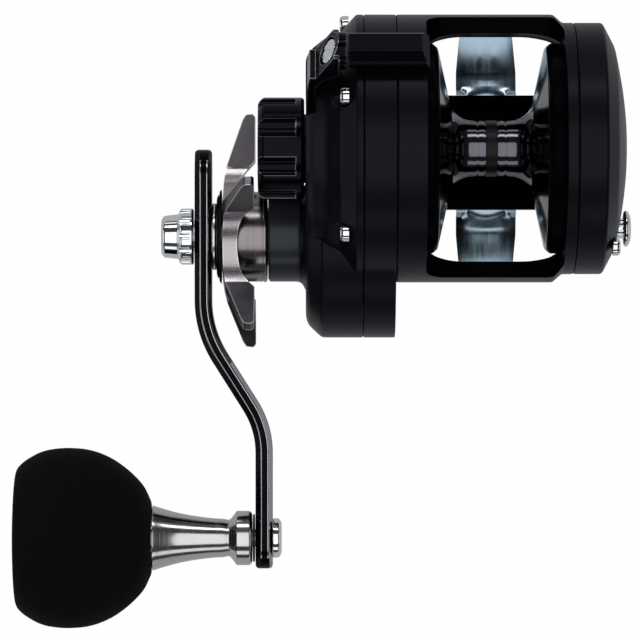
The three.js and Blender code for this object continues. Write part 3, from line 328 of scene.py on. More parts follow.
def rides_with(piece, node, material):
    """A detail that moves with a node's body, without replacing the node."""
    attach(piece, BODY_OF[node])
    paint(piece, material)
    return piece


# ---- materials
class Nodes:
    """A short way to build a procedural material."""

    def __init__(self, name):
        self.material = bpy.data.materials.new(name)
        self.material.use_nodes = True
        self.tree = self.material.node_tree
        self.shader = self.tree.nodes["Principled BSDF"]
        self.place = self.tree.nodes.new("ShaderNodeTexCoord").outputs["Object"]

    def add(self, kind, inputs=None, **settings):
        node = self.tree.nodes.new(kind)
        for key, value in settings.items():
            setattr(node, key, value)
        for key, value in (inputs or {}).items():
            self.feed(node.inputs[key], value)
        return node

    def feed(self, socket, value):
        if isinstance(value, bpy.types.NodeSocket):
            self.tree.links.new(value, socket)
        else:
            socket.default_value = value

    def set(self, **inputs):
        for key, value in inputs.items():
            self.feed(self.shader.inputs[key.replace("_", " ")], value)

    def stretched(self, scale):
        """Object coordinates scaled by a vector, in cycles per metre."""
        return self.add("ShaderNodeMapping", {"Vector": self.place, "Scale": scale}).outputs["Vector"]

    def turned(self, line):
        """Coordinates that are the same all the way round a line along X, for turning marks."""
        parts = self.add("ShaderNodeSeparateXYZ", {"Vector": self.place}).outputs
        dy = self.math("SUBTRACT", parts["Y"], line[0] * MM)
        dz = self.math("SUBTRACT", parts["Z"], line[1] * MM)
        squares = self.math("ADD", self.math("MULTIPLY", dy, dy), self.math("MULTIPLY", dz, dz))
        inputs = {"X": parts["X"], "Y": self.math("SQRT", squares)}
        return self.add("ShaderNodeCombineXYZ", inputs).outputs["Vector"]

    def math(self, operation, a, b=0.0):
        return self.add("ShaderNodeMath", {0: a, 1: b}, operation=operation).outputs["Value"]

    def noise(self, vector, scale, detail=3.0, rough=0.55):
        inputs = {"Vector": vector, "Scale": scale, "Detail": detail, "Roughness": rough}
        return self.add("ShaderNodeTexNoise", inputs).outputs["Fac"]

    def span(self, value, low, high, start=0.3, end=0.7):
        """Maps a value from start..end to low..high."""
        inputs = {"Value": value, "From Min": start, "From Max": end, "To Min": low, "To Max": high}
        return self.add("ShaderNodeMapRange", inputs).outputs["Result"]

    def blend(self, factor, a, b):
        node = self.add("ShaderNodeMix", data_type="RGBA")
        for key, value in (("Factor", factor), ("A", a), ("B", b)):
            self.feed(node.inputs[key], (*value, 1) if isinstance(value, tuple) else value)
        return node.outputs["Result"]

    def edges(self, radius, sharp=0.93, plain=0.995):
        """1 within a radius (mm) of an edge, 0 on flat and gently curved faces."""
        round_normal = self.add("ShaderNodeBevel", {"Radius": radius * MM}, samples=6).outputs["Normal"]
        true_normal = self.add("ShaderNodeNewGeometry").outputs["Normal"]
        pair = {0: round_normal, 1: true_normal}
        alike = self.add("ShaderNodeVectorMath", pair, operation="DOT_PRODUCT").outputs["Value"]
        return self.span(alike, 1.0, 0.0, sharp, plain)

    def bump(self, height, distance, strength=1.0):
        inputs = {"Height": height, "Distance": distance, "Strength": strength}
        self.set(Normal=self.add("ShaderNodeBump", inputs).outputs["Normal"])


COOL = (0.82, 0.88, 1.0, 1.0)  # a blue-black dye's tint on what it reflects
# Edges drawn lighter are a painted highlight on the black parts; on the star's pewter they are partly
# polish and partly painted highlight.
EDGE_POLISH_AND_HIGHLIGHT_WIDTH = 0.45  # width of the brighter line along an edge


def shades(colour, tint):
    """A darker and a lighter shade of a colour."""
    return tuple(c * (1 - tint) for c in colour), tuple(min(1.0, c * (1 + tint)) for c in colour)


def anodised(name, colour, rough, grain=0.35, specular=0.12, edge=None):
    """Bead-blasted, dyed aluminium: fine grain, a slightly cloudy gloss and, if given, a painted highlight
    along its edges.
    """
    m = Nodes(name)
    cloud = m.noise(m.place, 60.0, 2.0)
    grit = m.noise(m.place, 5200.0, 2.0)
    body = m.blend(m.span(cloud, 0.0, 1.0), colour, tuple(1.15 * c for c in colour))
    m.set(Base_Color=body, Metallic=0.25, Specular_IOR_Level=specular, Specular_Tint=COOL)
    if edge:
        # Painted highlight: a lighter, fully metallic line along the edges.
        line = m.edges(EDGE_POLISH_AND_HIGHLIGHT_WIDTH)
        m.set(Base_Color=m.blend(line, body, edge), Metallic=m.span(line, 0.25, 1.0, 0.0, 1.0))
    m.set(Roughness=m.math("ADD", m.span(cloud, rough - 0.01, rough + 0.015), m.span(grit, -0.04, 0.06)))
    m.bump(grit, 0.00002, grain)
    return m.material


def gloss(name, colour, rough=0.13):
    """Polished black plate under a thin clear coat, with a faint ripple and hairline marks."""
    m = Nodes(name)
    ripple = m.noise(m.place, 90.0, 2.0)
    hair = m.noise(m.stretched((4000.0, 300.0, 4000.0)), 1.0, 2.0)
    m.set(Base_Color=m.blend(m.span(ripple, 0.0, 1.0), colour, tuple(1.7 * c for c in colour)))
    m.set(Metallic=0.05, Specular_IOR_Level=0.03, Coat_Weight=0.015, Coat_Roughness=0.05)
    m.set(Roughness=m.math("ADD", m.span(ripple, rough, rough + 0.05), m.span(hair, -0.01, 0.03)))
    m.bump(ripple, 0.00003, 0.25)
    return m.material


def turned_metal(name, colour, rough, line, marks=9000.0, depth=0.3, tint=0.16, stretch=0.4):
    """Lathe-turned metal, with fine rings about its axis and a soft anisotropic sheen."""
    m = Nodes(name)
    place = m.turned(line)
    rings, bands = m.noise(place, marks, 3.0, 0.7), m.noise(place, marks / 14, 2.0)
    smoke = m.noise(m.place, 140.0, 3.0)
    mixed = m.math("ADD", m.math("MULTIPLY", rings, 0.6), m.math("MULTIPLY", bands, 0.4))
    m.set(Base_Color=m.blend(m.span(mixed, 0.0, 1.0, 0.35, 0.65), *shades(colour, tint)), Metallic=1.0)
    m.set(Roughness=m.math("ADD", m.span(rings, rough - 0.05, rough + 0.08), m.span(smoke, -0.02, 0.04)))
    tangent = m.add("ShaderNodeTangent", direction_type="RADIAL", axis="X").outputs["Tangent"]
    m.set(Anisotropic=stretch, Tangent=tangent)
    m.bump(rings, 0.00001, depth)
    return m.material


def brushed_metal(name, colour, rough, stretch, tint=0.15, depth=0.25, clouds=(70.0,) * 3, edge=None):
    """Brushed metal; stretch and clouds are the scales of its grain and its tone along each axis."""
    m = Nodes(name)
    grain = m.noise(m.stretched(stretch), 1.0, 4.0, 0.7)
    cloud = m.noise(m.stretched(clouds), 1.0, 3.0)
    mixed = m.math("ADD", m.math("MULTIPLY", grain, 0.55), m.math("MULTIPLY", cloud, 0.45))
    body = m.blend(m.span(mixed, 0.0, 1.0, 0.38, 0.62), *shades(colour, tint))
    # If an edge colour is given, a lighter line along the edges: painted highlight, on the star partly
    # polish.
    m.set(Base_Color=m.blend(m.edges(EDGE_POLISH_AND_HIGHLIGHT_WIDTH), body, edge) if edge else body, Metallic=1.0)
    m.set(Roughness=m.math("ADD", m.span(grain, rough - 0.04, rough + 0.07), m.span(cloud, -0.03, 0.04)))
    m.bump(grain, 0.00001, depth)
    return m.material


def chrome(name):
    """Bright plating with faint polishing haze."""
    m = Nodes(name)
    haze = m.noise(m.place, 700.0, 3.0)
    m.set(Base_Color=m.blend(m.span(haze, 0.0, 1.0), (0.78, 0.81, 0.84), (0.88, 0.91, 0.93)))
    m.set(Metallic=1.0, Roughness=m.span(haze, 0.04, 0.12))
    m.bump(haze, 0.00001, 0.15)
    return m.material


def foam(name):
    """Closed-cell EVA: matt, finely pitted, with small paler flecks."""
    m = Nodes(name)
    cells = m.add("ShaderNodeTexVoronoi", {"Vector": m.place, "Scale": 2600.0}).outputs["Distance"]
    fleck = m.span(m.noise(m.place, 3800.0, 2.0), 0.0, 1.0, 0.6, 0.75)
    cloud = m.noise(m.place, 110.0, 4.0)
    body = m.blend(m.span(cloud, 0.0, 1.0), (0.0028, 0.003, 0.0037), (0.0042, 0.0044, 0.0052))
    m.set(Base_Color=m.blend(m.math("MULTIPLY", fleck, 0.5), body, (0.022, 0.022, 0.025)))
    m.set(Roughness=m.span(cloud, 0.82, 0.95), Specular_IOR_Level=0.08)
    m.set(Sheen_Weight=0.01, Sheen_Roughness=0.5)
    m.bump(m.math("ADD", cells, m.math("MULTIPLY", fleck, 0.4)), 0.00008, 0.55)
    return m.material


def rubber(name):
    """Soft, finely grained rubber."""
    m = Nodes(name)
    grain = m.noise(m.place, 2400.0, 3.0)
    cloud = m.noise(m.place, 160.0, 2.0)
    m.set(Base_Color=m.blend(m.span(cloud, 0.0, 1.0), (0.002, 0.002, 0.003), (0.004, 0.004, 0.005)))
    m.set(Roughness=m.span(grain, 0.3, 0.42), Specular_IOR_Level=0.2)
    m.bump(grain, 0.00003, 0.4)
    return m.material


def carbon(name):
    """Woven drag-washer fibre: two crossed sets of bands."""
    m = Nodes(name)
    bands = []
    for lean in (900.0, -900.0):
        inputs = {"Vector": m.stretched((1.0, 900.0, lean)), "Scale": 1.0}
        bands.append(m.add("ShaderNodeTexWave", inputs).outputs["Fac"])
    weave = m.math("MULTIPLY", *bands)
    m.set(Base_Color=m.blend(weave, (0.012, 0.012, 0.013), (0.06, 0.06, 0.065)), Roughness=0.55)
    m.bump(weave, 0.00008, 0.5)
    return m.material


BLACK = (0.0036, 0.004, 0.0064)
EVEN = (3600.0,) * 3  # a grain that runs no particular way
MATERIALS = {
    "anodised_black": anodised("anodised_black", BLACK, 0.34, specular=0.16),
    "gloss_black": gloss("gloss_black", (0.002, 0.002, 0.003)),
    # The pewter's lighter edge colour is partly polish and partly painted highlight.
    "pewter": brushed_metal(
        "pewter", (0.14, 0.13, 0.146), 0.3, EVEN, 0.3, 1.0, edge=(0.9, 0.88, 0.89)),
    "chrome": chrome("chrome"),
    "foot_silver": brushed_metal(
        "foot_silver", (0.33, 0.44, 0.53), 0.17, (500.0, 25.0, 500.0), 0.08, 0.03, (160.0, 6.0, 160.0)),
    "gun_silver": turned_metal("gun_silver", (0.58, 0.57, 0.58), 0.13, KNOB, 5200.0, 0.04, 0.04, 0.0),
    "steel": brushed_metal("steel", (0.5, 0.51, 0.52), 0.26, (5200.0, 600.0, 600.0)),
    "brass": turned_metal("brass", (0.62, 0.44, 0.18), 0.3, SPOOL),
    "foam": foam("foam"),
    "black_rubber": rubber("black_rubber"),
    "carbon": carbon("carbon"),
}
PEWTER_TURNED = turned_metal("pewter_turned", (0.25, 0.228, 0.236), 0.18, DRIVE, stretch=0.15)
# Its lighter edge colour too is partly polish and partly painted highlight.
PEWTER_SATIN = brushed_metal(
    "pewter_satin", (0.42, 0.39, 0.41), 0.22, EVEN, 0.08, 0.3, edge=(0.8, 0.78, 0.79))
COLLAR_TURNED = turned_metal("collar_turned", (0.75, 0.76, 0.76), 0.16, DRIVE)
# The last colour of cap_black, lever_black and thumb_black is a painted highlight along their edges.
CAP_BLACK = anodised("cap_black", (0.0016, 0.002, 0.0034), 0.16, 0.2, 0.12, (0.16, 0.16, 0.19))
BOSS_BLACK = anodised("boss_black", (0.03, 0.033, 0.042), 0.26, 0.2, 0.3)
LEVER_BLACK = anodised("lever_black", (0.0016, 0.0018, 0.003), 0.14, 0.1, 0.08, (0.3, 0.31, 0.34))
THUMB_BLACK = anodised("thumb_black", (0.0016, 0.0018, 0.003), 0.16, 0.1, 0.08, (0.1, 0.1, 0.12))
SPOOL_BLACK = turned_metal("spool_black", (0.12, 0.12, 0.14), 0.08, SPOOL, 5200.0, 0.05, 0.1, 0.0)
RIM_BLACK = anodised("rim_black", (0.001, 0.001, 0.0014), 0.3, specular=0.02)
# Painted highlight lines for the handle arm's top corners, and a painted reflection for its facet below the
# first bend.
PAINTED_EDGE_HIGHLIGHT = brushed_metal("painted_edge_highlight", (0.5, 0.51, 0.54), 0.16, EVEN, 0.05, 0.02)
PAINTED_FACET_REFLECTION = brushed_metal("painted_facet_reflection", (0.3, 0.34, 0.38), 0.2, EVEN, 0.05, 0.02)


# ---- casings
COVER_SCREWS = [f"cover_screw_{i}" for i in (1, 2, 3)]
PALM_SCREWS = [f"palm_screw_{i}" for i in (1, 2, 3)]
POCKET_CLEARANCE = 0.45
SEAM_FILL = 0.22  # how far a casing's edge reaches into the gap beside it, so that no light comes through
CASING_RADIUS, CASING_BORE = 35.6, 30  # about the spool
HOUSING_RADIUS, HOUSING_BORE = 27.1, 24.8  # about the main shaft


def pockets(nodes, x0, x1):
    """Round cutters about each screw's head."""
    cutters = []
    for node in nodes:
        place = Span(node)
        outline = circle(place.radius + POCKET_CLEARANCE, place.line, 40)
        cutters.append(prism(f"{node}_cutter", outline, x0, x1))
    return cutters


def flutes(count, ring, radius, line, low, high, segments=24, first=0):
    """Round cutters set evenly in a ring about a line."""
    cutters = []
    for i in range(count):
        centre = around(ring, first + 360 / count * i, line)
        cutters.append(prism(f"flute_{i}", circle(radius, centre, segments), low, high))
    return cutters


def sector(inner, outer, start, end, line, steps=40):
    """A ring sector's outline between two angles, in degrees."""
    angles = [start + (end - start) * i / steps for i in range(steps + 1)]
    outside = [around(outer, angle, line) for angle in angles]
    inside = [around(inner, angle, line) for angle in reversed(angles)]
    return outside + inside


def gear_side_cover():
    cover, cap, sleeve = (Span(n) for n in ("gear_side_cover", "cast_control_cap", "one_way_sleeve"))
    seam, face, depth = cover.x1, cap.x1 + 0.4, 11
    radius, bulge = CASING_RADIUS, HOUSING_RADIUS
    body = lathe("gear_side_cover_shell", [
        (seam, 0), (seam, radius - 0.25, 0.2), (seam - 0.25, radius, 0.2), (seam - 1.9, radius, 0.5),
        (seam - 6.2, radius - 4.7, 0.8), (seam - 9.5, radius - 5.8, 1.5), (seam - 13.8, radius - 9.1, 2.5),
        (face, radius - 11.6, 1.2), (face, 0),
    ], SPOOL)
    housing = lathe("gear_housing", [
        (seam, 0), (seam, bulge - 0.25, 0.2), (seam - 0.25, bulge, 0.2), (seam - depth, bulge, 0.9),
        (face + 0.7, bulge - 3.4, 1.2), (face, bulge - 5.5, 0.8), (face, 0),
    ], DRIVE)
    boss_radius = 12.1
    lip = (cover.x0 + Span("star_wheel").x1) / 2  # almost meets the star's hub
    boss = lathe("drive_boss", [
        (face + 1, 0), (face + 1, boss_radius + 3), (face + 0.1, boss_radius + 2.6, 0.5),
        (face - 1.2, boss_radius, 1.8), (cover.x0, boss_radius, 0.5), (cover.x0, boss_radius - 0.5),
        (lip, boss_radius - 0.6, 0.1), (lip, sleeve.radius + 1.0, 0.1),
        (cover.x0 + 2.5, sleeve.radius + 0.8), (cover.x0 + 2.5, 0),
    ], DRIVE)
    inside = lathe("cover_inside", [
        (seam + 1, 0), (seam + 1, CASING_BORE), (seam - 3, CASING_BORE, 0.5), (seam - 6.5, 27.5, 1),
        (seam - depth, 24, 1), (seam - depth, 0),
    ], SPOOL, 96)
    housing_inside = lathe("housing_inside", [
        (seam + 1, 0), (seam + 1, HOUSING_BORE), (seam - depth, HOUSING_BORE, 1), (seam - depth, 0),
    ], DRIVE, 96)
    lever = Span("clutch_lever")
    floor = lever.x0 + 2.2
    swing = prism("lever_swing", sector(9.6, 40, 1, 72, SPOOL), face - 3, floor)
    hub = prism("lever_hub_pocket", circle(14, SPOOL, 96), face - 3, floor)
    spool_boss = lathe("spool_boss", [
        (cap.x0 + 3.2, 0), (cap.x0 + 3.2, 9.2, 0.3), (floor + 0.3, 9.2), (floor + 0.3, 0)], SPOOL, 96)
    combine(body, [housing, boss], "UNION")
    combine(body, [swing, hub])
    combine(body, [spool_boss], "UNION")
    head = Span("cover_screw_1")
    combine(body, [inside, housing_inside, *pockets(COVER_SCREWS, face - 2, head.x0 + 2.7)])
    soften(body, 0.18)
    stands_for(body, "gear_side_cover")

    def on_boss(polygon):
        return polygon.center.x < (face - 1.2) * MM and distance_to(polygon, DRIVE) < boss_radius + 0.3

    repaint(body, BOSS_BLACK, on_boss)


def gear_side_plate():
    plate = Span("gear_side_plate")
    x0 = plate.x0 - SEAM_FILL
    edge = 0.2

    def shell(name, outer, line):
        return lathe(name, [
            (x0, 0), (x0, outer - edge, 0.12), (x0 + edge, outer, 0.12),
            (plate.x1 - edge, outer, 0.12), (plate.x1, outer - edge, 0.12), (plate.x1, 0),
        ], line)

    body = shell("gear_side_plate_shell", CASING_RADIUS, SPOOL)
    combine(body, [shell("plate_bulge", HOUSING_RADIUS, DRIVE)], "UNION")
    floor = plate.x1 - 2.2
    hollow = prism("plate_hollow", circle(CASING_BORE, SPOOL, 96), plate.x0 - 1, floor)
    bulge_hollow = prism("bulge_hollow", circle(HOUSING_BORE, DRIVE, 96), plate.x0 - 1, floor)
    bore = prism("plate_bore", circle(5.8, SPOOL, 48), floor - 1, plate.x1 + 1)
    combine(body, [hollow, bulge_hollow, bore])
    stands_for(soften(body, 0.12), "gear_side_plate")


def palm_side_plate():
    plate = Span("palm_side_plate")
    x0, x1, radius = plate.x0, plate.x1, plate.radius
    body = lathe("palm_side_plate_shell", [
        (x0, 0), (x0, radius - 0.3, 0.2), (x0 + 0.3, radius, 0.2), (x0 + 7.5, radius, 0.7),
        (x0 + 10.7, radius - 6.1, 0.9), (x0 + 11.6, radius - 10.2, 1.5), (x0 + 12.9, radius - 17, 2.5),
        (x1 - 0.25, 9, 3.5), (x1, 0),
    ], SPOOL)
    inside = lathe("palm_inside", [
        (x0 - 1, 0), (x0 - 1, 28), (x0 + 6.6, 28, 1), (x0 + 8.4, 24, 1), (x0 + 8.4, 0)], SPOOL, 96)
    screw = Span("palm_screw_1")
    combine(body, [inside, *pockets(PALM_SCREWS, screw.x1 - 2.3, x1 + 1)])
    seat = lathe("palm_bearing_seat", [
        (x0 + 2.4, 2.4), (x0 + 2.4, 7.5, 0.4), (x0 + 8.6, 7.5), (x0 + 8.6, 2.4)], SPOOL, 64)
    rides_with(seat, "palm_side_plate", MATERIALS["anodised_black"])
    stands_for(soften(body, 0.15), "palm_side_plate")


def window(name, x0, x1, start, end):
    """A cutter for one opening of the frame, with rounded corners; start and end are angles."""
    corner, steps, reach = 5.0, 8, 33
    stations = [corner * (1 - math.cos(math.pi / 2 * i / steps)) for i in range(steps + 1)]
    stations = [x0 + s for s in stations] + [x1 - s for s in reversed(stations)]

    def build(bm):
        rings = []
        for x in stations:
            inside = min(x - x0, x1 - x, corner)
            turn_in = math.degrees((corner - chord(corner, inside)) / reach)
            outline = sector(18, 42, start + turn_in, end - turn_in, SPOOL)
            rings.append([bm.verts.new((x, y, z)) for y, z in outline])
        skin(bm, rings)

    return new_object(name, build)


def frame_casting():
    casting = Span("frame")
    x0, x1 = casting.x0 - SEAM_FILL, casting.x1 + SEAM_FILL
    radius, right_radius, bore = casting.radius, 33.4, 28.6
    window0, window1 = -17.6, 18.8
    outside = lathe("frame_casting", [
        (x0, 0), (x0, radius - 0.25, 0.2), (x0 + 0.3, radius, 0.3), (window1 - 2.6, radius, 0.6),
        (window1 - 0.1, right_radius, 0.6), (x1 - 0.2, right_radius, 0.2), (x1, right_radius - 0.2, 0.2),
        (x1, 0),
    ], SPOOL, 220)
    inside = lathe("frame_bore", [
        (x0 - 1, 0), (x0 - 1, bore), (window0 - 0.4, bore, 0.2), (window0, bore, 0.3),
        (window0 + 2.4, 29.9, 2), (window0 + 7.5, 31.2, 4), (window1 - 8.5, 31.2, 4),
        (window1 - 2.6, 29.9, 2), (window1, bore, 0.3), (window1 + 0.4, bore, 0.2),
        (x1 + 1, bore), (x1 + 1, 0),
    ], SPOOL, 220)
    bar, base = 15, 25.6
    openings = ((bar, 180 - bar), (180 + bar, 270 - base), (270 + base, 360 - bar))
    windows = [window(f"window_{i}", window0, window1, *ends) for i, ends in enumerate(openings)]
    combine(outside, windows)
    saddle = Span("reel_foot")
    bottom, top = saddle.high.z + 0.3, saddle.high.z + 9
    block = prism("saddle_block", rounded([
        (-15.5, bottom, 0.5), (15.5, bottom, 0.5), (15.5, top, 0.2), (-15.5, top, 0.2)]),
        window0 + 0.02, window1 - 0.02)
    combine(outside, [block], "UNION")
    combine(outside, [inside])
    stands_for(soften(outside, 0.45, 3, 38), "frame")

    def turned_inwards(face):
        outward = (face.center - Vector((face.center.x, *(v * MM for v in SPOOL)))).normalized()
        return face.normal.dot(outward) < 0.6

    repaint(outside, RIM_BLACK, turned_inwards)


# ---- foot
def reel_foot():
    foot = Span("reel_foot")
    half, length, pad = foot.high
    rows, columns = 72, 24
    bend, slope = 22.2, 16.1  # where the thin ends and the pad's slopes begin
    narrow, corner = half - 0.8, 4.0  # the tip's half width and its corner radius
    tip = length - corner
    draft = 0.985  # the underside's share of the top's width

    def top(y, across):
        """Height of the crowned top at a place along the foot; across runs from -1 to 1."""
        far = abs(y)
        if far > bend:
            height = 1.15 + 1.25 * (length - far) / (length - bend)
        else:
            share = min(1.0, (bend - far) / (bend - slope))
            height = 2.4 + (pad - 2.4) * (share * share * (3 - 2 * share))
        crown = 0.5 * height if far > slope else 0.12
        return height - crown * across * across

    def half_width(y):
        far = abs(y)
        if far < bend:
            return half
        if far < tip:
            return half + (narrow - half) * (far - bend) / (tip - bend)
        return narrow - corner + chord(corner, length - far)

    def build(bm):
        tops, lows = [], []
        for i in range(rows + 1):
            y = -length * math.cos(math.pi * i / rows)
            upper, lower = [], []
            for j in range(columns + 1):
                across = -math.cos(math.pi * j / columns)
                x = half_width(y) * across
                upper.append(bm.verts.new((x, y, top(y, across))))
                lower.append(bm.verts.new((x * draft, y, 0)))
            tops.append(upper)
            lows.append(lower)
        for a, b, c, d in zip(tops, tops[1:], lows, lows[1:]):
            for j in range(columns):
                bm.faces.new((a[j], a[j + 1], b[j + 1], b[j]))
                bm.faces.new((c[j], d[j], d[j + 1], c[j + 1]))
            for j in (0, columns):
                bm.faces.new((a[j], b[j], d[j], c[j]))
        for a, c in ((tops[0], lows[0]), (tops[-1], lows[-1])):
            for j in range(columns):
                bm.faces.new((a[j], a[j + 1], c[j + 1], c[j]))

    body = new_object("reel_foot_plate", build, 40)
    holes = []
    for node in ("foot_screw_1", "foot_screw_2"):
        screw_y = Span(node).line[0]
        hole = lathe(f"{node}_hole", [
            (-1, 0), (-1, 2.7), (0.3, 2.7), (1.7, 1.5), (pad + 1, 1.5), (pad + 1, 0)], (0, 0), 40)
        hole.data.transform(
            Matrix.Translation((0, screw_y * MM, 0)) @ Matrix.Rotation(-math.pi / 2, 4, "Y"))
        holes.append(hole)
    combine(body, holes)
    stands_for(soften(body, 0.2), "reel_foot")


# ---- spool
def spool():
    part = Span("spool")
    band = Span("line_band")
    rim, end = part.radius, part.x1
    groove, arbor = 0.35, band.radius - 0.12
    half = [
        (end, 2.4), (end, 8, 0.5), (end - 6.2, 8, 0.8), (end - 6.2, 13, 1), (end - 3.8, 25, 1),
        (end - 0.6, 26.2, 0.3), (end - 0.6, rim, 0.35), (end - 4.6, rim, 0.3), (end - 6.0, rim - 1.2, 0.4),
        (9.9, arbor, 6.6), (3.96, arbor), (3.9, arbor - groove), (3.5, arbor - groove), (3.44, arbor),
        (band.x1 + 0.3, arbor), (band.x1 + 0.25, arbor - groove), (band.x1 + 0.05, arbor - groove),
    ]
    mirrored = [(-x, r, *rest) for x, r, *rest in reversed(half)]
    body = lathe("spool_body", half + mirrored, SPOOL, 200, 6)
    stands_for(body, "spool", material=SPOOL_BLACK)
    repaint(body, RIM_BLACK, lambda face: distance_to(face, SPOOL) > rim - 0.8)
    strip = lathe("line_band_strip", [
        (band.x0, 6.8), (band.x0, band.radius, 0.25), (band.x1, band.radius, 0.25), (band.x1, 6.8),
    ], SPOOL, 120)
    stands_for(strip, "line_band")


# ---- cast control
def cast_control_cap():
    cap = Span("cast_control_cap")
    radius, lobes = cap.radius, 8
    lobe_end = cap.x1 - 2.2
    body = lathe("cast_cap_body", [
        (cap.x0, 0), (cap.x0, radius - 1.5, 0.5), (cap.x0 + 1.3, radius, 0.7), (cap.x1 - 0.6, radius, 0.3),
        (cap.x1, radius - 0.6, 0.2), (cap.x1, 9.7), (cap.x0 + 1.7, 9.7), (cap.x0 + 1.7, 0),
    ], SPOOL)
    combine(body, flutes(lobes, radius + 0.75, 2.75, SPOOL, cap.x0 - 1, lobe_end, 40, 180 / lobes))
    stands_for(soften(body, 0.4, 3, 30), "cast_control_cap", material=CAP_BLACK)


# ---- clutch lever
def clutch_lever():
    lever, bar = Span("clutch_lever"), Span("thumb_bar")
    outer, inner = lever.x0, lever.x0 + 1.9
    line_y, line_z = SPOOL

    def radial(a, b, depth):
        """Places an outline of (x, radius) drawn along the lever; depth is across it."""
        return a, line_y + b, line_z + depth

    strap = prism("clutch_lever_arm", rounded([
        (outer, 9.8), (outer, 31, 5), (-48.0, 35.6, 3), (-46.6, 39.2, 3), (-44.7, 41.9, 1.5),
        (-40.6, 42, 0.5), (-40.6, 35, 0.5), (-43.9, 33.8, 2), (inner, 30.6, 3), (inner, 9.8),
    ], 8), -5, 5, radial)
    hub = lathe("lever_hub", [
        (outer, 9.8), (outer, 13.2, 0.4), (inner, 13.2, 0.3), (inner, 9.8)], SPOOL, 120)
    barrel_line = (line_y + 39.3, line_z)
    barrel = lathe("lever_barrel", [
        (-44.9, 0), (-44.9, 4.35, 0.4), (-44.3, 4.85, 0.4), (bar.x0 - 0.35, 4.85, 0.3), (bar.x0 - 0.35, 0),
    ], barrel_line, 96)
    bore = prism("hub_bore", circle(9.7, SPOOL, 96), outer - 1, inner + 1)
    combine(strap, [hub, barrel], "UNION")
    tilt = math.radians(30)
    centre_x, centre_r = -43.6, 39.3
    above, below = 12, 5.2
    slant = prism("barrel_slant", [
        (-52, centre_r - below), (-52, centre_r + above),
        (centre_x + above * math.tan(tilt), centre_r + above),
        (centre_x - below * math.tan(tilt), centre_r - below)], -9, 9, radial)
    recess = lathe("screw_recess", [
        (-50, 0), (-50, 4.1), (centre_x + 1.1, 3.9, 0.3), (centre_x + 1.1, 0)], barrel_line, 64)
    lean = about(Vector((centre_x, *barrel_line)) * MM, Matrix.Rotation(-tilt, 4, "Z"))
    recess.data.transform(lean)
    combine(strap, [bore, slant, recess])
    screw = slotted_head("lever_screw_head", centre_x - 0.25, centre_x + 1.3, 3.4, barrel_line)
    screw.data.transform(lean)
    for piece in (strap, screw):
        turn(piece, LEVER_ANGLE, SPOOL)
    stands_for(soften(strap, 0.24, 2, 32), "clutch_lever", material=LEVER_BLACK)
    stands_for(screw, "lever_screw")
    thumb_bar(radial)


def thumb_bar(radial):
    bar = Span("thumb_bar")
    line_y, line_z = SPOOL
    low, high, half = 37.2, 41.6, 5.1
    section = rounded([
        (line_y + low, line_z - half + 1, 0.4), (line_y + low + 1, line_z - half, 0.4),
        (line_y + high - 1.0, line_z - half, 0.4), (line_y + high, line_z - half + 1.2, 0.5),
        (line_y + high, line_z + half - 3.2, 0.5), (line_y + high - 1.6, line_z + half, 0.6),
        (line_y + low + 1, line_z + half, 0.4), (line_y + low, line_z + half - 1, 0.4),
    ])
    body = prism("thumb_bar_paddle", section, bar.x0, bar.x1)
    corner = prism("bar_corner", [
        (bar.x1 - 2.6, high + 1), (bar.x1 + 1, high + 1), (bar.x1 + 1, high - 3.6)], -9, 9, radial)
    combine(body, [corner])
    turn(body, LEVER_ANGLE, SPOOL)
    stands_for(soften(body, 0.3, 3, 32), "thumb_bar", material=THUMB_BLACK)


# ---- screws
def slot_outline(line, half_length, half_width):
    """A rectangle centred on a line along X."""
    (y, z), a, b = line, half_length, half_width
    return [(y - a, z - b), (y + a, z - b), (y + a, z + b), (y - a, z + b)]


def slotted_head(name, x0, x1, radius, line):
    """A low domed screw head facing -X, with one slot."""
    body = lathe(name, [
        (x0, 0), (x0 + 0.12, radius * 0.55, 0.4), (x0 + 0.45, radius, 0.35), (x1, radius, 0.1), (x1, 0),
    ], line, COARSE)
    slot = prism(f"{name}_slot", slot_outline(line, 1.2 * radius, 0.14 * radius), x0 - 1, x0 + 0.75)
    combine(body, [turn(slot, 35, line)])
    return soften(body, 0.08)


def hex_head(name, x_face, x_under, radius, line):
    """A socket-head screw facing +X or -X, with a domed rim and a hexagonal socket."""
    side = math.copysign(1, x_face - x_under)
    body = lathe(name, [
        (x_face - side * 0.2, 0), (x_face, radius * 0.62, 0.2), (x_face - side * 0.1, radius * 0.82, 0.4),
        (x_face - side * 0.75, radius, 0.4), (x_under, radius, 0.1), (x_under, 0),
    ], line, COARSE)
    socket = circle(radius * 0.52, line, 6, 15)
    ends = sorted((x_face - side * 1.3, x_face + side))
    combine(body, [prism(f"{name}_socket", socket, *ends)])
    return soften(body, 0.08)


def casing_screws():
    for node in COVER_SCREWS + PALM_SCREWS:
        part = Span(node)
        face, under = (part.x0, part.x0 + 2.4) if node in COVER_SCREWS else (part.x1, part.x1 - 2)
        stands_for(hex_head(f"{node}_head", face, under, part.radius, part.line), node)


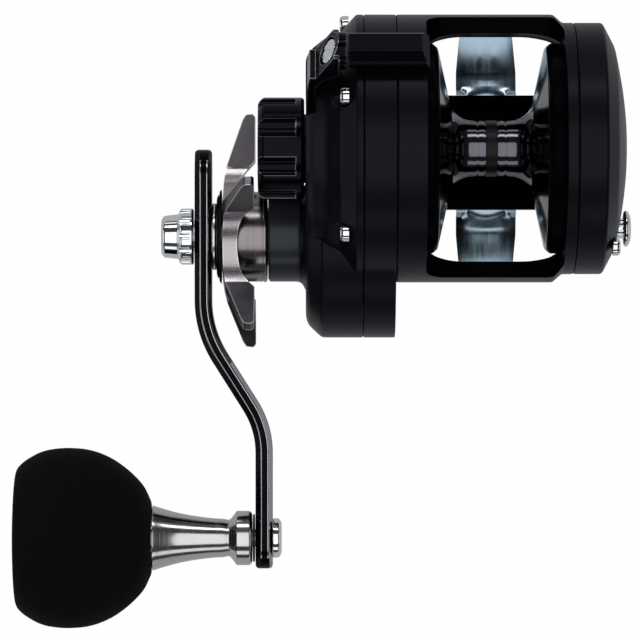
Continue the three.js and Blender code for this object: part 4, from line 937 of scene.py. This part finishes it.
# ---- star drag
def star_outline():
    """The star's front outline: straight-sided blades joined by round scallops, as (y, z) points."""
    count, first = 5, -7.3
    tip, tip_half, crease, crease_half, scallop = 34.5, 1.25, 18.8, 1.95, 12.9
    half_pitch = 180 / count
    along, across = math.cos(math.radians(half_pitch)), math.sin(math.radians(half_pitch))
    reach = crease ** 2 + crease_half ** 2 - scallop ** 2
    centre = reach / (2 * (crease * along + crease_half * across - scallop))
    steps = 24

    def beside(r, half, angle):
        """A point at a distance along a blade and a half width to its side."""
        return around(math.hypot(r, half), angle + math.degrees(math.atan2(half, r)), DRIVE)

    points = []
    for i in range(count):
        angle = first + 360 / count * i
        for r, half in ((crease, -crease_half), (tip, -tip_half), (tip, tip_half), (crease, crease_half)):
            points.append(beside(r, half, angle))
        middle = Vector(around(centre, angle + half_pitch, DRIVE))
        leave = Vector(points[-1]) - middle
        arrive = Vector(beside(crease, -crease_half, angle + 2 * half_pitch)) - middle
        swept = leave.angle_signed(arrive)
        for step in range(1, steps):
            points.append(tuple(middle + Matrix.Rotation(-swept * step / steps, 2) @ leave))
    return points


def star_wheel():
    star = Span("star_wheel")
    x0, x1 = star.x0, star.x1
    hub, crease = 12.2, 18.9
    dish = lathe("star_blades", [
        (x0, 6.5), (x0, 10.6, 0.5), (x0 + 0.35, 15.5, 1), (x0 + 1.0, 19.2, 0.6), (x0 + 5.2, 31.6, 0.8),
        (x0 + 6.1, 33.1, 0.4), (x0 + 8.0, 33.3, 0.3), (x0 + 8.7, 32.4, 0.4), (x0 + 8.7, 20.4, 0.5),
        (x0 + 5.1, 16.6, 2.0), (x0 + 3.9, 12.6, 1.0), (x0 + 3.9, 6.5),
    ], DRIVE, 240)
    front = prism("star_front", star_outline(), x0 - 1, x1)
    combine(dish, [front], "INTERSECT")
    combine(dish, [prism("star_bore", circle(8.55, DRIVE, 96), x0 + 3.0, x1 + 1)])
    stands_for(soften(dish, 0.2, 2, 24), "star_wheel")
    repaint(dish, PEWTER_SATIN, lambda face: distance_to(face, DRIVE) < crease)
    start = x0 + 4.0
    cylinder = lathe("star_hub", [
        (start, 8.6), (start, hub - 0.2, 0.1), (start + 0.4, hub - 0.1), (x1 - 1.25, hub - 0.1),
        (x1 - 1.2, hub - 0.3), (x1 - 1.05, hub - 0.3), (x1 - 1.0, hub, 0.05), (x1 - 0.35, hub, 0.3),
        (x1, hub - 0.4, 0.2), (x1, 8.6)], DRIVE)
    rides_with(cylinder, "star_wheel", PEWTER_TURNED)


def cone_and_collar():
    cone, collar = Span("cone_washer"), Span("arm_collar")
    body = lathe("cone_washer_body", [
        (cone.x0, 4.4), (cone.x0, 10.2, 0.2), (cone.x0 + 0.3, 11.2, 0.2), (cone.x0 + 0.5, 11.2, 0.1),
        (cone.x0 + 0.55, 10.9, 0.05), (cone.x0 + 0.65, 10.9, 0.05), (cone.x0 + 0.75, 12.2, 0.2),
        (cone.x1, 12.7, 0.1), (cone.x1, 4.4)], DRIVE, 120)
    stands_for(body, "cone_washer")
    x0, x1 = collar.x0 - SEAM_FILL, collar.x1 + SEAM_FILL
    ring = lathe("arm_collar_ring", [
        (x0, 4.4), (x0, collar.radius - 0.3, 0.15), (x0 + 0.3, collar.radius, 0.2),
        (x1 - 0.3, collar.radius, 0.2), (x1, collar.radius - 0.3, 0.1), (x1, 4.4)], DRIVE, 120)
    stands_for(ring, "arm_collar", material=COLLAR_TURNED)


# ---- handle
def handle_arm():
    """A flat bar with chamfered edges, swept down a path with two smooth bends."""
    arm = Span("handle_arm")
    thickness = 4.6
    hub_x, knob_x, hub_y = arm.x0 + thickness / 2, arm.x1 - thickness / 2, DRIVE[0]
    hub_half, knob_half = arm.radius, 6.6
    end_corner, corner_steps = 1.1, 4
    path = rounded([
        (hub_x, arm.high.y), (hub_x, hub_y - 25.4, 8.5), (knob_x, hub_y - 51.2, 7), (knob_x, arm.low.y)],
        24, closed=False)
    path = resample(path, 0.8)

    def half_width(y):
        """Half the arm's width at a place along it, with its two round ends."""
        from_hub, from_knob = arm.high.y - y, y - arm.low.y
        if from_hub < hub_half:
            return chord(hub_half, from_hub)
        if from_knob < knob_half:
            return chord(knob_half, from_knob)
        share = (from_hub - hub_half) / (arm.high.y - arm.low.y - hub_half - knob_half)
        return hub_half + (knob_half - hub_half) * min(1.0, share * 1.35)

    def painted_light_at(side, centre):
        """Painted highlight lines on the top's corners, away from the ends, and a painted reflection on the
        facet below the first bend.
        """
        corner, step = divmod(side, corner_steps + 1)
        from_end = min(arm.high.y - centre.y, centre.y - arm.low.y)
        if step < corner_steps:
            return int(corner in (2, 3) and from_end > 3)
        return 2 if corner == 3 and centre.y < hub_y - 34 else 0

    def build(bm):
        rings = []
        for i, (x, y) in enumerate(path):
            before, after = path[max(0, i - 1)], path[min(len(path) - 1, i + 1)]
            along = Vector((after[0] - before[0], after[1] - before[1])).normalized()
            normal = Vector((-along.y, along.x))
            width = max(0.35, half_width(y))
            from_end = min(arm.high.y - y, y - arm.low.y, end_corner)
            half = thickness / 2 - end_corner + chord(end_corner, from_end)
            edge = min(0.42, 0.3 * width)
            facet, drop = min(1.1, 0.4 * half), min(3.4, 0.6 * width)  # the side towards the reel
            shoulder, fall = 0.65 * half, min(2.4, 0.5 * width)  # the far side
            section = rounded([
                (-half, -width, edge), (-half, width - fall, edge),
                (shoulder - half, width, edge / 2), (half - facet, width, edge),
                (half, width - drop, edge), (half, drop - width, edge), (half - facet, -width, edge)],
                corner_steps)
            rings.append([
                bm.verts.new((x + normal.x * out, y + normal.y * out, DRIVE[1] + across))
                for out, across in section])
        skin(bm, rings)
        for i, face in enumerate(list(bm.faces)[:-2]):
            face.material_index = painted_light_at(i % len(rings[0]), face.calc_center_median())

    body = new_object("handle_arm_bar", build, 28)
    # The second and third slots hold the painted highlight lines and the painted facet reflection.
    for material in (MATERIALS["gloss_black"], PAINTED_EDGE_HIGHLIGHT, PAINTED_FACET_REFLECTION):
        body.data.materials.append(material)
    hub_hole = prism("hub_hole", circle(4.3, DRIVE, 48), arm.x0 - 1, arm.x0 + 6)
    knob_hole = prism("knob_hole", circle(2.7, KNOB, 48), arm.x1 - 6, arm.x1 + 1)
    combine(body, [hub_hole, knob_hole])
    stands_for(soften(body, 0.12, 2, 50), "handle_arm")


def resample(path, step):
    """Points at even steps along a polyline, with finer steps at its two ends."""
    lengths = [0.0]
    for (ax, ay), (bx, by) in zip(path, path[1:]):
        lengths.append(lengths[-1] + math.hypot(bx - ax, by - ay))
    total = lengths[-1]
    fine, count = 9, 26
    stations = [fine * (1 - math.cos(math.pi / 2 * i / count)) for i in range(count)]
    middle = max(2, round((total - 2 * fine) / step))
    distances = stations + [fine + (total - 2 * fine) * i / middle for i in range(middle + 1)]
    distances += [total - d for d in reversed(stations)]
    points = []
    segment = 0
    for distance in distances:
        while segment < len(lengths) - 2 and lengths[segment + 1] < distance:
            segment += 1
        share = (distance - lengths[segment]) / (lengths[segment + 1] - lengths[segment])
        (ax, ay), (bx, by) = path[segment], path[segment + 1]
        points.append((ax + (bx - ax) * share, ay + (by - ay) * share))
    return points


def handle_nut():
    nut = Span("handle_nut")
    x0, x1, radius = nut.x0, nut.x1, nut.radius
    waist = x0 + 4.8
    body = lathe("handle_nut_body", [
        (x0, 0), (x0, 4.6, 0.4), (x0 + 0.7, 5.6, 0.5), (waist - 0.4, 6.0, 0.3), (waist - 0.1, 6.3, 0.2),
        (waist, radius - 0.7, 0.3), (waist + 0.6, radius, 0.4), (x1 - 0.4, radius, 0.3),
        (x1, radius - 0.4, 0.2), (x1, 4.4), (x0 + 3.1, 4.4), (x0 + 3.1, 0)], DRIVE, 144)
    combine(body, flutes(12, radius + 0.5, 1.15, DRIVE, waist - 0.2, x1 - 0.9))
    stands_for(soften(body, 0.2, 3, 30), "handle_nut")


def knob():
    grip, sleeve, pin, washer = (Span(n) for n in ("knob_grip", "knob_sleeve", "knob_pin", "knob_washer"))
    x0, x1, radius = grip.x0, grip.x1, grip.radius
    bore = 6.35
    ball = lathe("knob_grip_foam", [
        (x0, 0), (x0 + 0.1, 6, 2), (x0 + 0.3, 12, 3), (x0 + 0.8, 18.6, 1.2), (x0 + 2.9, 20.7, 2.2),
        (x0 + 7.5, 23.4, 4), (x0 + 13.5, radius + 0.25, 5), (x0 + 20.5, 23.9, 5), (x0 + 26.5, 21.6, 5),
        (x0 + 31.5, 17.9, 4), (x0 + 35.2, 14, 2.4), (x1 - 0.1, 9.9, 0.8), (x1, 9.2, 0.5), (x1, bore),
        (x0 + 7.2, bore), (x0 + 7.2, 0)], KNOB, 160, 8)
    stands_for(ball, "knob_grip")
    flange = sleeve.x1
    body = lathe("knob_sleeve_body", [
        (sleeve.x0, 2.75), (sleeve.x0, 6, 0.3), (x1 + 0.3, 6), (x1 + 0.3, 8.8, 0.3), (x1 + 2.4, 8.1, 2),
        (x1 + 6.5, 6.9, 3), (x1 + 11, 6.0, 3), (x1 + 16, 5.35, 3), (x1 + 19.6, 5.15, 0.8),
        (x1 + 21.0, 4.8, 1.2), (x1 + 22.2, 6.3, 0.3), (x1 + 22.9, 7.3, 0.3), (flange - 0.7, 7.3, 0.3),
        (flange, 6.6, 0.3), (flange, 4.6), (flange - 2.6, 4.6), (flange - 2.6, 2.75)], KNOB, 144, 6)
    stands_for(body, "knob_sleeve")
    ring = lathe("knob_washer_ring", [
        (washer.x0 - 0.1, 2.75), (washer.x0 - 0.1, 6.4, 0.1), (washer.x1 + 0.1, 6.4, 0.1),
        (washer.x1 + 0.1, 2.75)], KNOB, 96)
    stands_for(ring, "knob_washer")
    head = lathe("knob_pin_head", [
        (pin.x1 - 2.3, 0), (pin.x1 - 2.3, 5.3, 0.2), (pin.x1 - 0.7, 5.3, 0.5), (pin.x1, 4.1, 0.5),
        (pin.x1 - 0.1, 0)], KNOB, 96)
    combine(head, [prism("pin_slot", slot_outline(KNOB, 7, 0.7), pin.x1 - 1.1, pin.x1 + 1)])
    shank = lathe("knob_pin_shank", [
        (pin.x0, 0), (pin.x0, 2.4, 0.3), (pin.x1 - 2.35, 2.4), (pin.x1 - 2.35, 0)], KNOB, 48)
    stands_for(soften(head, 0.12), "knob_pin")
    rides_with(shank, "knob_pin", MATERIALS["steel"])


# ---- click
def click_knob():
    part = Span("click_knob")
    x1, line = part.x1, part.line
    stem, head = 2.0, part.radius
    body = lathe("click_knob_body", [
        (part.x0, 0), (part.x0, 1.5), (x1 - 4.4, 1.5), (x1 - 4.4, stem + 0.7, 0.2),
        (x1 - 2.2, stem + 0.7, 0.2), (x1 - 2.0, head - 0.5, 0.3), (x1 - 1.5, head, 0.4),
        (x1 - 0.8, head - 0.3, 0.5), (x1 - 0.1, 3.1, 0.8), (x1 - 0.1, 0)], line, 96)
    combine(body, flutes(14, stem + 0.85, 0.35, line, x1 - 4.6, x1 - 2.1, 12))
    stands_for(soften(body, 0.08), "click_knob")


# ---- everything else of the CAD
def dress_inner_nodes():
    """Gives the CAD nodes that stay a softened edge and their procedural material."""
    shown = {o["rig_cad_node"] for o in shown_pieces() if "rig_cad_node" in o}
    drive_turned = turned_metal("steel_turned", (0.5, 0.51, 0.52), 0.26, DRIVE)
    spool_turned = turned_metal("steel_spool_turned", (0.5, 0.51, 0.52), 0.26, SPOOL)
    for name in (n for n in frame["nodes"] if n in shown):
        node = frame["nodes"][name]
        material = MATERIALS[SLOT_OF[name]]
        if SLOT_OF[name] == "steel":
            material = drive_turned if BODY_OF[name] == "drive" else spool_turned
        if name == "one_way_sleeve":
            material = LEVER_BLACK
        node.data.materials.clear()
        node.data.materials.append(material)
        bevelled(node, 0.12)


# ---- stage
# Softboxes: name, azimuth, elevation, width, height and radiance.
LIGHTS = [
    ("overhead", 0, 85, 1.7, 1.9, 1.25),
    ("front", 0, 26, 1.8, 0.5, 1.1),
    ("rear", 180, 34, 1.8, 0.3, 3.6),
    ("rear_low", 180, 11, 1.6, 0.2, 1.2),
    ("left_low", -90, 14, 1.4, 0.35, 2.2),
    ("right_low", 90, 14, 1.4, 0.35, 1.2),
]


# In metres: what the camera looks down on, the width it sees there and its height above the spool's axis.
VIEW_CENTRE = (-0.0455, -0.0456)
VIEW_WIDTH = 0.1703
CAMERA_HEIGHT = 1.2


def stage():
    scene = bpy.context.scene
    scene.view_settings.view_transform = "Standard"
    scene.view_settings.look = "None"
    low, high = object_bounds()
    centre = (low + high) / 2
    floor_mesh = bpy.data.meshes.new("floor")
    half, depth = 6.0, low.z - 0.03
    corners = [(-half, -half, depth), (half, -half, depth), (half, half, depth), (-half, half, depth)]
    floor_mesh.from_pydata(corners, [], [(0, 1, 2, 3)])
    floor = bpy.data.objects.new("floor", floor_mesh)
    scene.collection.objects.link(floor)
    floor_mesh.materials.append(floor_material())
    floor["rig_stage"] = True
    world = bpy.data.worlds.new("studio")
    world.use_nodes = True
    background = world.node_tree.nodes["Background"]
    background.inputs["Color"].default_value = (0.9, 0.93, 1.0, 1)
    background.inputs["Strength"].default_value = 0.05
    scene.world = world
    for name, azimuth, elevation, width, height, radiance in LIGHTS:
        softbox(name, centre, azimuth, elevation, width, height, radiance)
    camera_data = bpy.data.cameras.new("camera")
    camera_data.sensor_width = 36
    camera_data.lens = camera_data.sensor_width * CAMERA_HEIGHT / VIEW_WIDTH
    camera_data.clip_start, camera_data.clip_end = 0.05, 20
    camera = bpy.data.objects.new("camera", camera_data)
    camera.location = (*VIEW_CENTRE, SPOOL[1] * MM + CAMERA_HEIGHT)
    scene.collection.objects.link(camera)
    scene.camera = camera


def floor_material():
    """White to the camera, dimmer in polished metal and dark in soft light: dark metal stays dark."""
    m = Nodes("floor_white")
    grain = m.noise(m.place, 30.0, 2.0)
    m.set(Base_Color=m.blend(grain, (0.1, 0.1, 0.1), (0.12, 0.12, 0.12)), Roughness=0.9)
    path = m.add("ShaderNodeLightPath").outputs
    glow = m.add("ShaderNodeEmission", {"Color": m.blend(grain, (0.99, 0.99, 0.99), (1, 1, 1))})
    in_metal = m.math("MULTIPLY", path["Is Glossy Ray"], 0.45)
    m.feed(glow.inputs["Strength"], m.math("ADD", path["Is Camera Ray"], in_metal))
    seen = m.math("MAXIMUM", path["Is Camera Ray"], path["Is Glossy Ray"])
    mixed = m.add("ShaderNodeMixShader")
    m.feed(mixed.inputs["Fac"], seen)
    m.tree.links.new(m.shader.outputs["BSDF"], mixed.inputs[1])
    m.tree.links.new(glow.outputs["Emission"], mixed.inputs[2])
    m.tree.links.new(mixed.outputs["Shader"], m.tree.nodes["Material Output"].inputs["Surface"])
    return m.material


def softbox(name, target, azimuth, elevation, width, height, radiance):
    """A rectangular light, with azimuth 0 at -Y and 90 at +X; its size and radiance give its power."""
    distance = 1.7
    a, e = math.radians(azimuth), math.radians(elevation)
    toward = Vector((math.sin(a) * math.cos(e), -math.cos(a) * math.cos(e), math.sin(e)))
    light = bpy.data.lights.new(name, "AREA")
    light.shape = "RECTANGLE"
    light.size, light.size_y = width, height
    light.energy = radiance * math.pi * width * height
    holder = bpy.data.objects.new(name, light)
    holder.location = target + toward * distance
    holder.rotation_euler = toward.to_track_quat("Z", "Y").to_euler()
    bpy.context.scene.collection.objects.link(holder)


# ---- build
gear_side_cover()
gear_side_plate()
palm_side_plate()
frame_casting()
reel_foot()
spool()
cast_control_cap()
clutch_lever()
casing_screws()
star_wheel()
cone_and_collar()
handle_arm()
handle_nut()
knob()
click_knob()
dress_inner_nodes()
stage()
